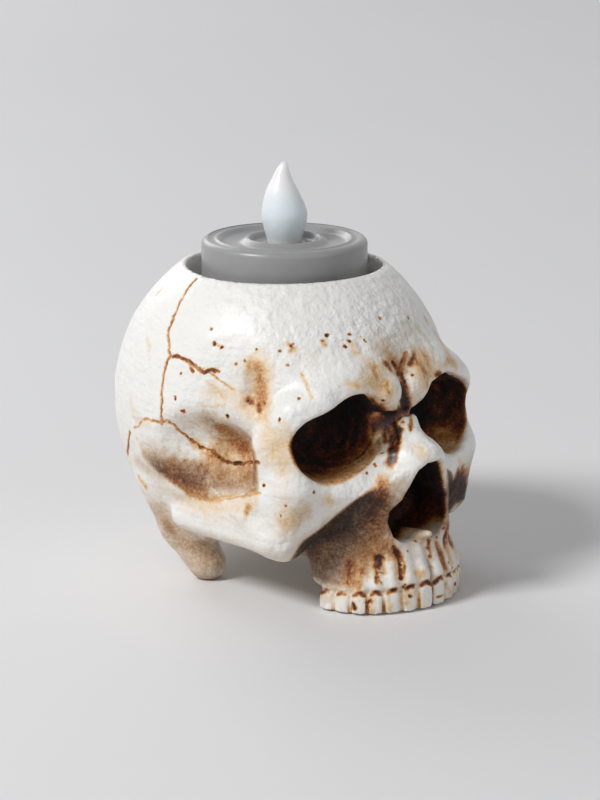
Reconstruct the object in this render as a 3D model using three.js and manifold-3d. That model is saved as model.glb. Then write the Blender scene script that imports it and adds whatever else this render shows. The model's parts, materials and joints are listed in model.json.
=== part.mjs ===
// Skull candle holder with a battery tealight in its crown.
// Millimetres, +Z up, the face looks along -Y. The skull stands on z = 0.
import * as THREE from 'three';
import { mergeVertices } from 'three/addons/utils/BufferGeometryUtils.js';
import Module from 'manifold-3d';

const wasm = await Module();
wasm.setup();

// Sizes of the skull casting
const skullHeight = 71.6;      // table to the rim of the candle well
const skullWidth = 72.6;       // across the widest part of the cranium
const skullLength = 92;        // back of the head to the tip of the nose
const wellDepth = 12.3;        // rim to the floor of the well
const wellGap = 3.3;           // between the tealight and the wall of the well

// Sizes of the tealight's housing
const candleRadius = 19;
const candleHeight = 17;
const shellWall = 1.2;
const shellEdge = 1.5;         // round edge of the top
const rippleDepth = 1.4;       // depth of the rings moulded in the top
const roofWall = 1.2;          // housing top below the deepest ring

// Flame
const flameHeight = 17.9;      // above the housing's top plane
const flameRadius = 5.27;      // at its widest
const flameNeck = 3.93;        // where it leaves the housing
const flangeRadius = 5.6;
const flangeThickness = 1;

// Light
const ledRadius = 1.5;
const ledFlange = 1.9;
const ledFlangeHeight = 1;
const ledHeight = 5.3;
const leadWidth = 0.5;
const leadPitch = 2.54;

// Base plate, battery and its cover
const plateThickness = 2.4;
const cellRadius = 10;
const cellThickness = 3.2;
const cellOffset = 4;          // the cell's pocket is off centre by this much
const pocketClearance = 0.5;   // round the cell
const pocketWall = 1.2;
const pocketRoof = 0.8;
const coverRadius = 11;
const coverThickness = 1.7;
const lugReach = 1.2;
const lugThickness = 0.7;
const coinSlotWidth = 1.4;
const coinSlotLength = 13;
const coinSlotDepth = 0.8;
const contactThickness = 0.3;
const contactWidth = 3;
const pegRadius = 1;

// Circuit board and switch
const boardThickness = 1;
const boardWidth = 12;
const boardLength = 21.4;
const chipRadius = 1.8;
const chipHeight = 0.9;
const switchLength = 8.6;
const switchWidth = 3.6;
const switchOffset = 11.6;     // from the tealight's axis
const sliderLength = 2.2;
const sliderWidth = 1.6;
const sliderRecess = 0.4;      // the slider ends inside the plate's face
const sliderHead = 0.7;
const sliderHeadMargin = 1.3;
const switchTravel = 2;

// Gaps and counts
const gap = 0.3;               // between separate pieces
const overrun = 1;             // every cut starts this far outside
const roundSteps = 44;
const arcSteps = 8;
const smallSteps = 20;
const lugAngle = 30;           // degrees, one bayonet lug
const turnAngle = 60;          // degrees, the cover's turn from locked to open

// Levels and radii that follow from the sizes
const wellRadius = candleRadius + wellGap;
const floorZ = skullHeight - wellDepth;
const baseZ = floorZ + gap;
const topZ = baseZ + candleHeight;
const roofZ = topZ - rippleDepth - roofWall;
const plateTop = baseZ + plateThickness;
const coverTop = baseZ + coverThickness;
const cellBottom = coverTop + gap;
const cellTop = cellBottom + cellThickness;
const leafBottom = cellTop + gap;
const pocketTop = leafBottom + contactThickness + gap;
const boardBottom = pocketTop + pocketRoof + gap + gap + gap;
const boardTop = boardBottom + boardThickness;
const innerRadius = candleRadius - shellWall;
const plateRadius = innerRadius - gap;
const pocketRadius = cellRadius + pocketClearance;

// Closed solids from plain shapes, and back to a mesh
function toSolid(geometry) {
  const bare = geometry.clone();
  bare.deleteAttribute('normal');
  bare.deleteAttribute('uv');
  const merged = mergeVertices(bare);
  const triVerts = new Uint32Array(merged.index.array);
  const vertProperties = new Float32Array(merged.attributes.position.array);
  let volume = 0;
  const a = new THREE.Vector3();
  const b = new THREE.Vector3();
  const c = new THREE.Vector3();
  for (let i = 0; i < triVerts.length; i += 3) {
    a.fromArray(vertProperties, triVerts[i] * 3);
    b.fromArray(vertProperties, triVerts[i + 1] * 3);
    c.fromArray(vertProperties, triVerts[i + 2] * 3);
    volume += a.dot(b.cross(c));
  }
  if (volume < 0) {
    for (let i = 0; i < triVerts.length; i += 3) {
      const first = triVerts[i];
      triVerts[i] = triVerts[i + 1];
      triVerts[i + 1] = first;
    }
  }
  return new wasm.Manifold(new wasm.Mesh({ numProp: 3, vertProperties, triVerts }));
}

function toGeometry(solid) {
  const mesh = solid.getMesh();
  const count = mesh.vertProperties.length / mesh.numProp;
  const places = new Float32Array(count * 3);
  for (let i = 0; i < count; i += 1) {
    for (let k = 0; k < 3; k += 1) {
      places[i * 3 + k] = mesh.vertProperties[i * mesh.numProp + k];
    }
  }
  const geometry = new THREE.BufferGeometry();
  geometry.setAttribute('position', new THREE.BufferAttribute(places, 3));
  geometry.setIndex(Array.from(mesh.triVerts));
  geometry.computeVertexNormals();
  return geometry;
}

// a body of revolution from points [radius, z], standing on its own axis at (x, y)
function turned(points, steps = roundSteps, x = 0, y = 0) {
  const outline = points.map(([r, z]) => new THREE.Vector2(r, z));
  const closed = points[0][0] === 0 && points[points.length - 1][0] === 0;
  if (!closed) outline.push(outline[0].clone());
  const geometry = new THREE.LatheGeometry(outline, steps);
  geometry.rotateX(Math.PI / 2);
  geometry.translate(x, y, 0);
  return toSolid(geometry);
}

function disc(radius, from, to, steps = roundSteps, x = 0, y = 0) {
  return turned([[0, from], [radius, from], [radius, to], [0, to]], steps, x, y);
}

function block(from, to) {
  const size = to.map((v, k) => v - from[k]);
  const geometry = new THREE.BoxGeometry(...size);
  geometry.translate(...to.map((v, k) => (v + from[k]) / 2));
  return toSolid(geometry);
}

// part of a ring between two angles in degrees, about (x, 0)
function sector(inner, outer, fromAngle, toAngle, from, to, x) {
  const a = THREE.MathUtils.degToRad(fromAngle);
  const b = THREE.MathUtils.degToRad(toAngle);
  const shape = new THREE.Shape();
  shape.absarc(0, 0, outer, a, b, false);
  shape.absarc(0, 0, inner, b, a, true);
  shape.closePath();
  const geometry = new THREE.ExtrudeGeometry(shape, {
    depth: to - from,
    bevelEnabled: false,
    curveSegments: arcSteps,
  });
  geometry.translate(x, 0, from);
  return toSolid(geometry);
}

// The skull is sculpted in shares of its size: x is out from the middle plane, f is forward
// and z is up. These are the shares in its whole height, width and length.
const sculptHeightShare = 71.6;
const sculptWidthShare = 72.6;
const sculptLengthShare = 92;

// Each feature adds to the skull or cuts it, on both sides alike or in the middle.
// egg: centre, three radii, turns in degrees, blend. rod: points with radii, blend.
// plate: three corners, thickness to each side, blend.
const skullFeatureShares = [
  // temple
  ['cut', 'pair', 'egg', [41.5, 25, 50], [10, 16, 19], [-10, 0, 0], 8],
  // hollow of the base
  ['cut', 'mid', 'egg', [0, -2, -14], [40, 46, 27], [0, 0, 0], 4],
  // temporal fossa
  ['cut', 'pair', 'egg', [40, 16.5, 33.5], [13, 21, 12], [6, 0, 0], 3.5],
  // bone behind the face
  ['add', 'mid', 'egg', [0, 22, 36], [23, 15, 16], [0, 0, 0], 6],
  // brow
  ['add', 'pair', 'rod', [[25, 30, 44.4, 3.6], [20, 32, 47.2, 3.5], [13, 32.8, 50, 3.5],
    [7.5, 32, 52, 2.8]], 5],
  // outer frame of the eye socket
  ['add', 'pair', 'plate', [[25.2, 28.6, 45.4], [25.6, 29.4, 30], [27.4, 24.6, 38]], 3.6, 2.5],
  // frame down to the cheek
  ['add', 'pair', 'plate', [[25.6, 28.8, 30], [27.4, 24, 38], [27.8, 21.6, 25]], 3.7, 2.5],
  // cheek, front
  ['add', 'pair', 'plate', [[26, 27, 16.4], [25.6, 29.8, 28.6], [12.5, 35.6, 26]], 3.9, 4],
  // cheek, side
  ['add', 'pair', 'plate', [[26, 27, 16.4], [25.6, 29.6, 28.6], [28.2, 19.5, 21.5]], 4, 3],
  // cheek arch
  ['add', 'pair', 'plate', [[28.2, 25, 16.4], [28.6, 18, 21.6], [29.6, -1, 17.2]], 3.6, 2],
  ['step', 'jaw'],
  // hollow behind the arch
  ['cut', 'pair', 'egg', [24, 14, 8.5], [5.5, 13, 9], [0, 0, 0], 3],
  // hollow under the cheek, and its edge
  ['cut', 'pair', 'egg', [24.5, 39, 11], [9.5, 7.5, 9.5], [-38, 0, 0], 1.4],
  ['cut', 'pair', 'rod', [[26.6, 35, 11.2, 6], [23.6, 37.4, 14.3, 6], [19.6, 39.4, 17.7, 5.8],
    [12.6, 42.8, 23.4, 4]], 1],
  // dip between the brows
  ['cut', 'mid', 'egg', [0, 43, 49.5], [5.5, 7.5, 8], [0, 0, 0], 3],
  // nose bones
  ['add', 'mid', 'rod', [[0, 34.2, 44.6, 2.3], [0, 37.2, 40.6, 2.4], [0, 41.2, 37, 2.4],
    [0, 45.6, 34.8, 2.7]], 2],
  // side of the nose
  ['add', 'pair', 'plate', [[2.4, 43.9, 33], [6, 33.8, 40.4], [11, 37.2, 22]], 2.7, 2],
  // edge of the nose opening
  ['add', 'pair', 'plate', [[2.4, 43.9, 33], [11, 37.2, 22], [8, 40, 16]], 2.9, 3],
  // inner corner of the eye socket
  ['cut', 'pair', 'egg', [8.4, 38.5, 41.5], [5.4, 7.5, 6.2], [18, 0, 0], 1.2],
  // bump between the brows
  ['add', 'each', 'egg', [4.3, 35, 48.1], [4.7, 4.9, 4.8], [0, 0, 0], 1.6],
  // temple dimple
  ['cut', 'pair', 'egg', [31.4, 21.6, 50.3], [4.2, 4.6, 8], [-30, 0, 0], 1],
  // deep front end of the temporal fossa
  ['cut', 'pair', 'egg', [35, 14.4, 33], [10.2, 8.6, 9.4], [0, 0, 0], 0.8],
  // mastoid lobe
  ['add', 'pair', 'rod', [[25.5, -13, 23, 6.5], [24, -9, 12, 5.2], [21.8, -3, 3.6, 4.4]], 2],
  // palate
  ['cut', 'mid', 'egg', [0, 27, 0], [12, 15.5, 8.5], [0, 0, 0], 2],
];
// cranium and the cap of revolution that it becomes towards the rim
const craniumShares = { centre: [0, -1, 39.5], radii: [36.3, 41.5, 42] };
const capShares = { centre: [0, 0, 22.9], radii: [46, 46, 56.6], blend: 3, top: 73.7 };
// upper jaw: a block rounded in plan, with a gum line that rises to the front
const jawShares = {
  back: 15, width: 19.6, widen: -0.12, depth: 31.7, taper: 0.15, round: 2.6, scale: 15,
  top: 30, topBlend: 6, bottom: 4.3, bottomBlend: 1, gumBack: 33, gumLength: 15, gumRise: 1.7,
  rear: 26.6, rearLean: 0.37, rearLevel: 4, rearBlend: 4, blend: 4,
};
// nose opening: half widths at heights, and how it widens and opens up and down inside
const noseShares = {
  outline: [[3.5, 15.2], [6, 15.6], [8, 16.8], [9, 19.4], [9.1, 20.4], [8.6, 22.9], [6.4, 25.5],
    [5.7, 27.3], [4.8, 29.3], [3.5, 32.2], [1.8, 33.4]],
  front: 42, flare: 0.12, drop: 0.2, rise: 0.1, middle: 24.3, back: 30.5, outside: 56,
};
// nose spine: a small point in the lower edge of the opening
const spineShares = [[0, 36, 13.8, 2.8], [0, 46.4, 16.4, 0.9]];
// the low ends of the bumps between the brows, which hang into the sockets
const bumpShares = { centre: [4.3, 35, 48.1], radius: 4.7 };
// eye socket: its rim plane, its centre and its rim's reach from there, all the way round
// from the outer side over the top, as a sum of so many waves
const socketShares = {
  plane: 42.77, slant: 0.283, lean: 0.0595, centre: [17.8, 39.2], inward: 0.22,
  rim: [10.3, 9.3, 8.4, 9, 11.6, 11.9, 10.9, 9.9, 8.9, 9.4, 10.1, 10], waves: 4,
  depth: 20, lip: 1, round: 2.5, rings: [-13, -1, 2.9, 7.2, 11.5, 15, 17.5, 18.8],
};
// teeth: place of the outer face, half width, height, and turn from the front in degrees
const toothShares = [
  [2.25, 48.2, 2.2, 6, 5],
  [6.4, 47.2, 2, 5.6, 15],
  [10.3, 45.5, 2.05, 5.2, 27],
  [13.7, 43.3, 1.85, 5, 42],
  [16.5, 40.8, 1.95, 4.8, 54],
  [18.3, 37.1, 2, 4.5, 66],
  [19.3, 33.1, 2.15, 4.3, 77],
];
const toothThicknessShare = 2.2;
// levels of a tooth: height share, width share
const toothLevelShares = [[-0.25, 0.86], [0.2, 1], [0.72, 0.97], [1.3, 0.7]];
const rootShares = {
  inset: 2, above: 1.4, high: 13.5, back: 2.9, narrow: 0.9, draw: 0.97, radii: [1.8, 1], blend: 1.6,
};

const { degToRad } = THREE.MathUtils;

function blendIn(a, b, k) {
  const h = Math.max(k - Math.abs(a - b), 0) / k;
  return Math.min(a, b) - h * h * k / 4;
}

function blendOut(a, b, k) {
  return -blendIn(-a, -b, k);
}

function eggDistance(p, centre, radii, turns = [0, 0, 0]) {
  let x = p[0] - centre[0];
  let f = p[1] - centre[1];
  let z = p[2] - centre[2];
  const [yaw, pitch, roll] = turns.map(degToRad);
  [x, f] = [x * Math.cos(yaw) + f * Math.sin(yaw), -x * Math.sin(yaw) + f * Math.cos(yaw)];
  [f, z] = [f * Math.cos(pitch) + z * Math.sin(pitch), -f * Math.sin(pitch) + z * Math.cos(pitch)];
  [x, z] = [x * Math.cos(roll) + z * Math.sin(roll), -x * Math.sin(roll) + z * Math.cos(roll)];
  const [rx, rf, rz] = radii;
  const k0 = Math.hypot(x / rx, f / rf, z / rz);
  const k1 = Math.hypot(x / (rx * rx), f / (rf * rf), z / (rz * rz));
  return k1 === 0 ? -Math.min(rx, rf, rz) : k0 * (k0 - 1) / k1;
}

function rodDistance(p, points, blend) {
  let result = null;
  for (let i = 0; i + 1 < points.length; i += 1) {
    const a = points[i];
    const b = points[i + 1];
    const ab = [b[0] - a[0], b[1] - a[1], b[2] - a[2]];
    const ap = [p[0] - a[0], p[1] - a[1], p[2] - a[2]];
    const along = (ap[0] * ab[0] + ap[1] * ab[1] + ap[2] * ab[2])
      / (ab[0] * ab[0] + ab[1] * ab[1] + ab[2] * ab[2]);
    const t = Math.min(Math.max(along, 0), 1);
    const away = Math.hypot(ap[0] - t * ab[0], ap[1] - t * ab[1], ap[2] - t * ab[2]);
    const d = away - (a[3] + (b[3] - a[3]) * t);
    result = result === null ? d : blendIn(result, d, blend);
  }
  return result;
}

const corner = new THREE.Triangle();
const probe = new THREE.Vector3();
const nearest = new THREE.Vector3();

function plateDistance(p, corners, thickness) {
  corner.a.fromArray(corners[0]);
  corner.b.fromArray(corners[1]);
  corner.c.fromArray(corners[2]);
  probe.fromArray(p);
  corner.closestPointToPoint(probe, nearest);
  return nearest.distanceTo(probe) - thickness;
}

function jawDistance(x, f, z) {
  const s = jawShares;
  const u = Math.abs(x) / (s.width + s.widen * z);
  const v = Math.max(f - s.back, 0) / (s.depth - s.taper * z);
  let d = ((u ** s.round + v ** s.round) ** (1 / s.round) - 1) * s.scale;
  d = blendOut(d, z - s.top, s.topBlend);
  const gum = s.bottom + s.gumRise * THREE.MathUtils.clamp((f - s.gumBack) / s.gumLength, 0, 1);
  d = blendOut(d, gum - z, s.bottomBlend);
  return blendOut(d, s.rear - s.rearLean * (z - s.rearLevel) - f, s.rearBlend);
}

function rootDistance(p, tooth) {
  const [x, f, , height, turn] = tooth;
  const s = rootShares;
  const side = Math.sin(degToRad(turn));
  const front = Math.cos(degToRad(turn));
  const low = [x - s.inset * side, f - s.inset * front, height + s.above, s.radii[0]];
  const high = [x * s.narrow - s.back * side, f * s.draw - s.back * front, s.high, s.radii[1]];
  return rodDistance(p, [low, high], s.blend);
}

// distance to the skull's surface in sculpt shares, negative inside
function sculpt(x, f, z) {
  const out = Math.abs(x);
  const pair = [out, f, z];
  const other = [-out, f, z];
  let d = eggDistance([x, f, z], craniumShares.centre, craniumShares.radii);
  d = blendOut(d, eggDistance([x, f, z], capShares.centre, capShares.radii), capShares.blend);
  for (const feature of skullFeatureShares) {
    const [way, side, kind, shape] = feature;
    const blend = feature[feature.length - 1];
    if (way === 'step') {
      if (side === 'jaw') {
        d = blendIn(d, jawDistance(x, f, z), jawShares.blend);
        for (const tooth of toothShares) d = blendIn(d, rootDistance(pair, tooth), rootShares.blend);
      }
      continue;
    }
    const sides = side === 'each' ? [pair, other] : [pair];
    let e = null;
    for (const p of sides) {
      let one = 0;
      if (kind === 'egg') one = eggDistance(p, shape, feature[4], feature[5]);
      if (kind === 'rod') one = rodDistance(p, shape, blend);
      if (kind === 'plate') one = plateDistance(p, shape, feature[4]);
      e = e === null ? one : blendIn(e, one, blend / 4);
    }
    d = way === 'add' ? blendIn(d, e, blend) : blendOut(d, -e, blend);
  }
  return Math.max(d, z - capShares.top);
}

// the same in millimetres, at a point of the part, with the well's axis at x = y = 0
function skullField(x, y, z) {
  const d = sculpt(
    x / skullWidth * sculptWidthShare,
    -y / skullLength * sculptLengthShare,
    z / skullHeight * sculptHeightShare,
  );
  return d * skullHeight / sculptHeightShare;
}

// grid lines from one end to the other, closer together in a range; all in shares
function gridLines(size, total, from, to, wide, close, closeFrom, closeTo) {
  const lines = [];
  let at = from;
  while (at < to) {
    lines.push(at * size / total);
    at += at >= closeFrom && at < closeTo ? close : wide;
  }
  lines.push(at * size / total);
  return lines;
}
const gridShares = { wide: 4.4, close: 2.7, side: 41.6, back: -50, front: 56, bottom: -8.6, top: 80 };

// Where four neighbours of the grid touch only corner to corner, one more is filled in,
// so that the surface never pinches.
function fillPinches(values, counts, fill) {
  const [nx, ny] = counts;
  const steps = [1, nx, nx * ny];
  const inside = (i) => values[i] < 0;
  for (let changed = true; changed;) {
    changed = false;
    for (let k = 0; k + 1 < counts[2]; k += 1) {
      for (let j = 0; j + 1 < ny; j += 1) {
        for (let i = 0; i + 1 < nx; i += 1) {
          const at = i + j * nx + k * nx * ny;
          for (const [u, v] of [[0, 1], [1, 2], [0, 2]]) {
            for (const w of [0, steps[3 - u - v]]) {
              const a = at + w;
              const b = a + steps[u];
              const c = a + steps[v];
              const e = b + steps[v];
              if (inside(a) === inside(e) && inside(b) === inside(c) && inside(a) !== inside(b)) {
                values[inside(a) ? b : a] = fill;
                changed = true;
              }
            }
          }
          for (let q = 0; q < 4; q += 1) {
            const a = at + (q & 1) * steps[0] + (q >> 1) * steps[1];
            const e = at + (1 - (q & 1)) * steps[0] + (1 - (q >> 1)) * steps[1] + steps[2];
            let count = 0;
            for (let m = 0; m < 8; m += 1) {
              const near = at + (m & 1) * steps[0] + ((m >> 1) & 1) * steps[1] + (m >> 2) * steps[2];
              count += inside(near) ? 1 : 0;
            }
            const lonely = count === 2 && inside(a) && inside(e);
            const opposed = count === 6 && !inside(a) && !inside(e);
            if (lonely || opposed) {
              values[lonely ? at + (1 - (q & 1)) * steps[0] + (q >> 1) * steps[1] : a] = fill;
              changed = true;
            }
          }
        }
      }
    }
  }
}

// closed surface through the zero level of a field, one point in each grid cell it passes
function surfaceOf(field, xs, ys, zs) {
  const counts = [xs.length, ys.length, zs.length];
  const [nx, ny, nz] = counts;
  const values = new Float64Array(nx * ny * nz);
  for (let k = 0; k < nz; k += 1) {
    for (let j = 0; j < ny; j += 1) {
      for (let i = 0; i < nx; i += 1) {
        values[i + j * nx + k * nx * ny] = field(xs[i], ys[j], zs[k]);
      }
    }
  }
  fillPinches(values, counts, (xs[0] - xs[1]) / smallSteps);
  const axes = [xs, ys, zs];
  const steps = [1, nx, nx * ny];
  const cells = new Map();
  const places = [];
  const cellPoint = (i, j, k) => {
    const at = i + j * nx + k * nx * ny;
    if (cells.has(at)) return cells.get(at);
    const sum = new THREE.Vector3();
    let count = 0;
    for (let u = 0; u < 3; u += 1) {
      for (let m = 0; m < 4; m += 1) {
        const base = [i, j, k];
        base[(u + 1) % 3] += m & 1;
        base[(u + 2) % 3] += m >> 1;
        const a = base[0] + base[1] * nx + base[2] * nx * ny;
        const b = a + steps[u];
        if ((values[a] < 0) === (values[b] < 0)) continue;
        const t = values[a] / (values[a] - values[b]);
        const point = base.map((n, v) => axes[v][n]);
        point[u] += t * (axes[u][base[u] + 1] - axes[u][base[u]]);
        sum.add(probe.fromArray(point));
        count += 1;
      }
    }
    sum.divideScalar(count);
    const reach = [axes[0][i + 1] - axes[0][i], axes[1][j + 1] - axes[1][j], axes[2][k + 1] - axes[2][k]];
    settle(field, sum, Math.min(...reach));
    cells.set(at, places.length / 3);
    places.push(sum.x, sum.y, sum.z);
    return cells.get(at);
  };
  const index = [];
  for (let k = 1; k + 1 < nz; k += 1) {
    for (let j = 1; j + 1 < ny; j += 1) {
      for (let i = 1; i + 1 < nx; i += 1) {
        const at = i + j * nx + k * nx * ny;
        for (let u = 0; u < 3; u += 1) {
          const within = values[at] < 0;
          if (within === (values[at + steps[u]] < 0)) continue;
          const v = [0, 0, 0];
          const w = [0, 0, 0];
          v[(u + 1) % 3] = 1;
          w[(u + 2) % 3] = 1;
          const quad = [[0, 0], [1, 0], [1, 1], [0, 1]].map(([m, n]) => cellPoint(
            i - m * v[0] - n * w[0],
            j - m * v[1] - n * w[1],
            k - m * v[2] - n * w[2],
          ));
          if (!within) quad.reverse();
          index.push(...splitQuad(quad, places));
        }
      }
    }
  }
  const geometry = new THREE.BufferGeometry();
  geometry.setAttribute('position', new THREE.Float32BufferAttribute(places, 3));
  geometry.setIndex(index);
  return geometry;
}

// draws a point onto the zero level, within part of its cell
function settle(field, point, cell) {
  const start = point.clone();
  const reach = cell / smallSteps;
  for (let round = 0; round < 3; round += 1) {
    const here = field(point.x, point.y, point.z);
    const slope = new THREE.Vector3(
      field(point.x + reach, point.y, point.z) - here,
      field(point.x, point.y + reach, point.z) - here,
      field(point.x, point.y, point.z + reach) - here,
    ).divideScalar(reach);
    const steep = slope.lengthSq();
    if (steep === 0) return;
    point.addScaledVector(slope, -here / Math.max(steep, 1 / 2));
    const away = point.clone().sub(start);
    if (away.length() > cell / 3) point.copy(start).add(away.setLength(cell / 3));
  }
}

function splitQuad([a, b, c, e], places) {
  const point = (n) => new THREE.Vector3().fromArray(places, n * 3);
  const first = point(a).distanceTo(point(c));
  const second = point(b).distanceTo(point(e));
  return first <= second ? [a, b, c, a, c, e] : [a, b, e, b, c, e];
}

// one tooth: an oval section that changes from level to level
function toothSolid(tooth, side) {
  const [x, f, half, height, turn] = tooth;
  const angle = degToRad(turn);
  const steps = 12;
  const places = [];
  for (const [level, width] of toothLevelShares) {
    for (let i = 0; i < steps; i += 1) {
      const a = i / steps * Math.PI * 2;
      const square = (v) => Math.sign(v) * Math.sqrt(Math.abs(v));
      const along = square(Math.cos(a)) * half * width;
      const out = square(Math.sin(a)) * toothThicknessShare * width - toothThicknessShare;
      const px = x + along * Math.cos(angle) + out * Math.sin(angle);
      const pf = f - along * Math.sin(angle) + out * Math.cos(angle);
      places.push(...placed([side * px, pf, level * height]));
    }
  }
  const index = [];
  const rings = toothLevelShares.length;
  for (let r = 0; r + 1 < rings; r += 1) {
    for (let i = 0; i < steps; i += 1) {
      const a = r * steps + i;
      const b = r * steps + (i + 1) % steps;
      index.push(a, b, b + steps, a, b + steps, a + steps);
    }
  }
  for (let i = 1; i + 1 < steps; i += 1) {
    const top = (rings - 1) * steps;
    index.push(0, i + 1, i, top, top + i, top + i + 1);
  }
  const geometry = new THREE.BufferGeometry();
  geometry.setAttribute('position', new THREE.Float32BufferAttribute(places, 3));
  geometry.setIndex(index);
  return toSolid(geometry);
}

// a sculpt point in millimetres of the part
function placed([x, f, z]) {
  return [
    x * skullWidth / sculptWidthShare,
    -f * skullLength / sculptLengthShare,
    z * skullHeight / sculptHeightShare,
  ];
}

// closed body through rings of sculpt points, all with as many points
function lofted(rings) {
  const places = rings.flat().flatMap(placed);
  const count = rings[0].length;
  const index = [];
  for (let r = 0; r + 1 < rings.length; r += 1) {
    for (let i = 0; i < count; i += 1) {
      const a = r * count + i;
      const b = r * count + (i + 1) % count;
      index.push(a, b, b + count, a, b + count, a + count);
    }
  }
  for (const [ring, way] of [[0, -1], [rings.length - 1, 1]]) {
    const middle = [0, 1, 2].map((k) => rings[ring].reduce((sum, v) => sum + v[k], 0) / count);
    places.push(...placed(middle));
    const centre = places.length / 3 - 1;
    for (let i = 0; i < count; i += 1) {
      const a = ring * count + i;
      const b = ring * count + (i + 1) % count;
      if (way > 0) index.push(centre, a, b);
      else index.push(centre, b, a);
    }
  }
  const geometry = new THREE.BufferGeometry();
  geometry.setAttribute('position', new THREE.Float32BufferAttribute(places, 3));
  geometry.setIndex(index);
  return toSolid(geometry);
}

// reach of the socket's rim at an angle: a smooth curve round the reaches in the table
function rimReach(angle) {
  const { rim, waves } = socketShares;
  let reach = 0;
  rim.forEach((value, i) => {
    const away = angle - i / rim.length * Math.PI * 2;
    let weight = 1;
    for (let k = 1; k <= waves; k += 1) weight += 2 * Math.cos(k * away);
    reach += value * weight / rim.length;
  });
  return reach;
}

function socketSolid(side) {
  const s = socketShares;
  const rings = s.rings.map((depth) => {
    const deep = Math.max((depth + s.lip) / s.depth, 0);
    const narrow = Math.sqrt(1 - deep ** s.round);
    const ring = [];
    for (let i = 0; i < smallSteps; i += 1) {
      const angle = i / smallSteps * Math.PI * 2;
      const reach = rimReach(angle);
      const out = s.centre[0] - s.inward * Math.max(depth, 0) + reach * narrow * Math.cos(angle);
      const z = s.centre[1] + reach * narrow * Math.sin(angle);
      ring.push([side * out, s.plane - s.slant * out - s.lean * z - depth, z]);
    }
    return ring;
  });
  return lofted(rings);
}

function noseSolid() {
  const s = noseShares;
  const around = [...s.outline, ...[...s.outline].reverse().map(([half, z]) => [-half, z])];
  const rings = [s.outside, s.front, s.back].map((f) => {
    const inside = Math.max(s.front - f, 0);
    return around.map(([half, z]) => [
      half + Math.sign(half) * s.flare * inside,
      f,
      z + inside * (z < s.middle ? -s.drop : s.rise),
    ]);
  });
  return lofted(rings);
}

function bumpSolid(side) {
  const [x, f, z] = bumpShares.centre;
  const ball = new THREE.SphereGeometry(bumpShares.radius * skullHeight / sculptHeightShare, 14, 10);
  ball.translate(...placed([side * x, f, z]));
  return toSolid(ball);
}

function spineSolid() {
  const [foot, tip] = spineShares;
  const rings = spineShares.map(([, f, z, r]) => {
    const ring = [];
    for (let i = 0; i < arcSteps; i += 1) {
      const a = i / arcSteps * Math.PI * 2;
      ring.push([r * Math.cos(a), f, z + r * Math.sin(a)]);
    }
    return ring;
  });
  return foot[1] < tip[1] ? lofted(rings) : lofted(rings.reverse());
}

function skullSolid() {
  const g = gridShares;
  const xs = gridLines(skullWidth, sculptWidthShare, -g.side, g.side + g.close, g.close, g.close, 0, 0);
  const ys = gridLines(skullLength, sculptLengthShare, -g.front, -g.back, g.wide, g.close, -g.front, 0);
  const dense = g.side * 3 / 2;
  const zs = gridLines(skullHeight, sculptHeightShare, g.bottom, g.top, g.wide, g.close, g.bottom, dense);
  let skull = toSolid(surfaceOf(skullField, xs, ys, zs));
  skull = skull.subtract(noseSolid()).add(spineSolid());
  for (const side of [1, -1]) skull = skull.subtract(socketSolid(side)).add(bumpSolid(side));
  for (const tooth of toothShares) {
    skull = skull.add(toothSolid(tooth, 1));
    skull = skull.add(toothSolid(tooth, -1));
  }
  // everything above the rim, the well, and what reaches below the table
  const far = skullLength;
  skull = skull.subtract(turned([
    [0, floorZ], [wellRadius, floorZ], [wellRadius, skullHeight],
    [far, skullHeight], [far, skullHeight + far], [0, skullHeight + far],
  ], roundSteps + smallSteps));
  return skull.subtract(block([-far, -far, -far], [far, far, 0]));
}

// rings in the housing's top: share of the radius, share of the ripple's depth
const rippleShares = [
  [0.86, 0.12], [0.8, 0], [0.73, 0.22], [0.64, 0.5], [0.54, 0.5], [0.49, 0.12], [0.44, 0.12],
  [0.4, 0.95], [0.29, 1], [0.26, 0.6],
];
const edgeSteps = 4;

function housingSolid() {
  const neck = flameNeck + gap;
  const outline = [[innerRadius, baseZ], [candleRadius, baseZ]];
  for (let i = 0; i <= edgeSteps; i += 1) {
    const a = i / edgeSteps * Math.PI / 2;
    outline.push([
      candleRadius - shellEdge + shellEdge * Math.cos(a),
      topZ - shellEdge + shellEdge * Math.sin(a) - rippleDepth / smallSteps,
    ]);
  }
  for (const [out, deep] of rippleShares) outline.push([candleRadius * out, topZ - rippleDepth * deep]);
  outline.push([neck, topZ - rippleDepth * rippleShares[rippleShares.length - 1][1]]);
  outline.push([neck, roofZ], [innerRadius, roofZ]);
  return turned(outline);
}

// flame outline: share of the height, share of the widest radius
const flameShares = [
  [0.1, 0.865], [0.21, 0.95], [0.32, 1], [0.45, 0.94], [0.58, 0.8], [0.7, 0.58], [0.83, 0.34],
  [0.92, 0.2],
];
const flameWall = 1.5;

function flameSolid() {
  const foot = roofZ - gap - flangeThickness;
  const bore = ledFlange + gap;
  const hollowTop = foot + ledHeight + ledRadius + gap;
  const outline = [
    [0, hollowTop], [bore / 2, hollowTop - flameWall / 2], [bore, hollowTop - flameWall],
    [bore, foot], [flangeRadius, foot], [flangeRadius, foot + flangeThickness],
    [flameNeck, foot + flangeThickness], [flameNeck, topZ - rippleDepth / 2],
  ];
  for (const [up, out] of flameShares) outline.push([flameRadius * out, topZ + flameHeight * up]);
  outline.push([0, topZ + flameHeight]);
  return turned(outline, smallSteps + 4);
}

const ledFoot = roofZ - gap - flangeThickness;

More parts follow.
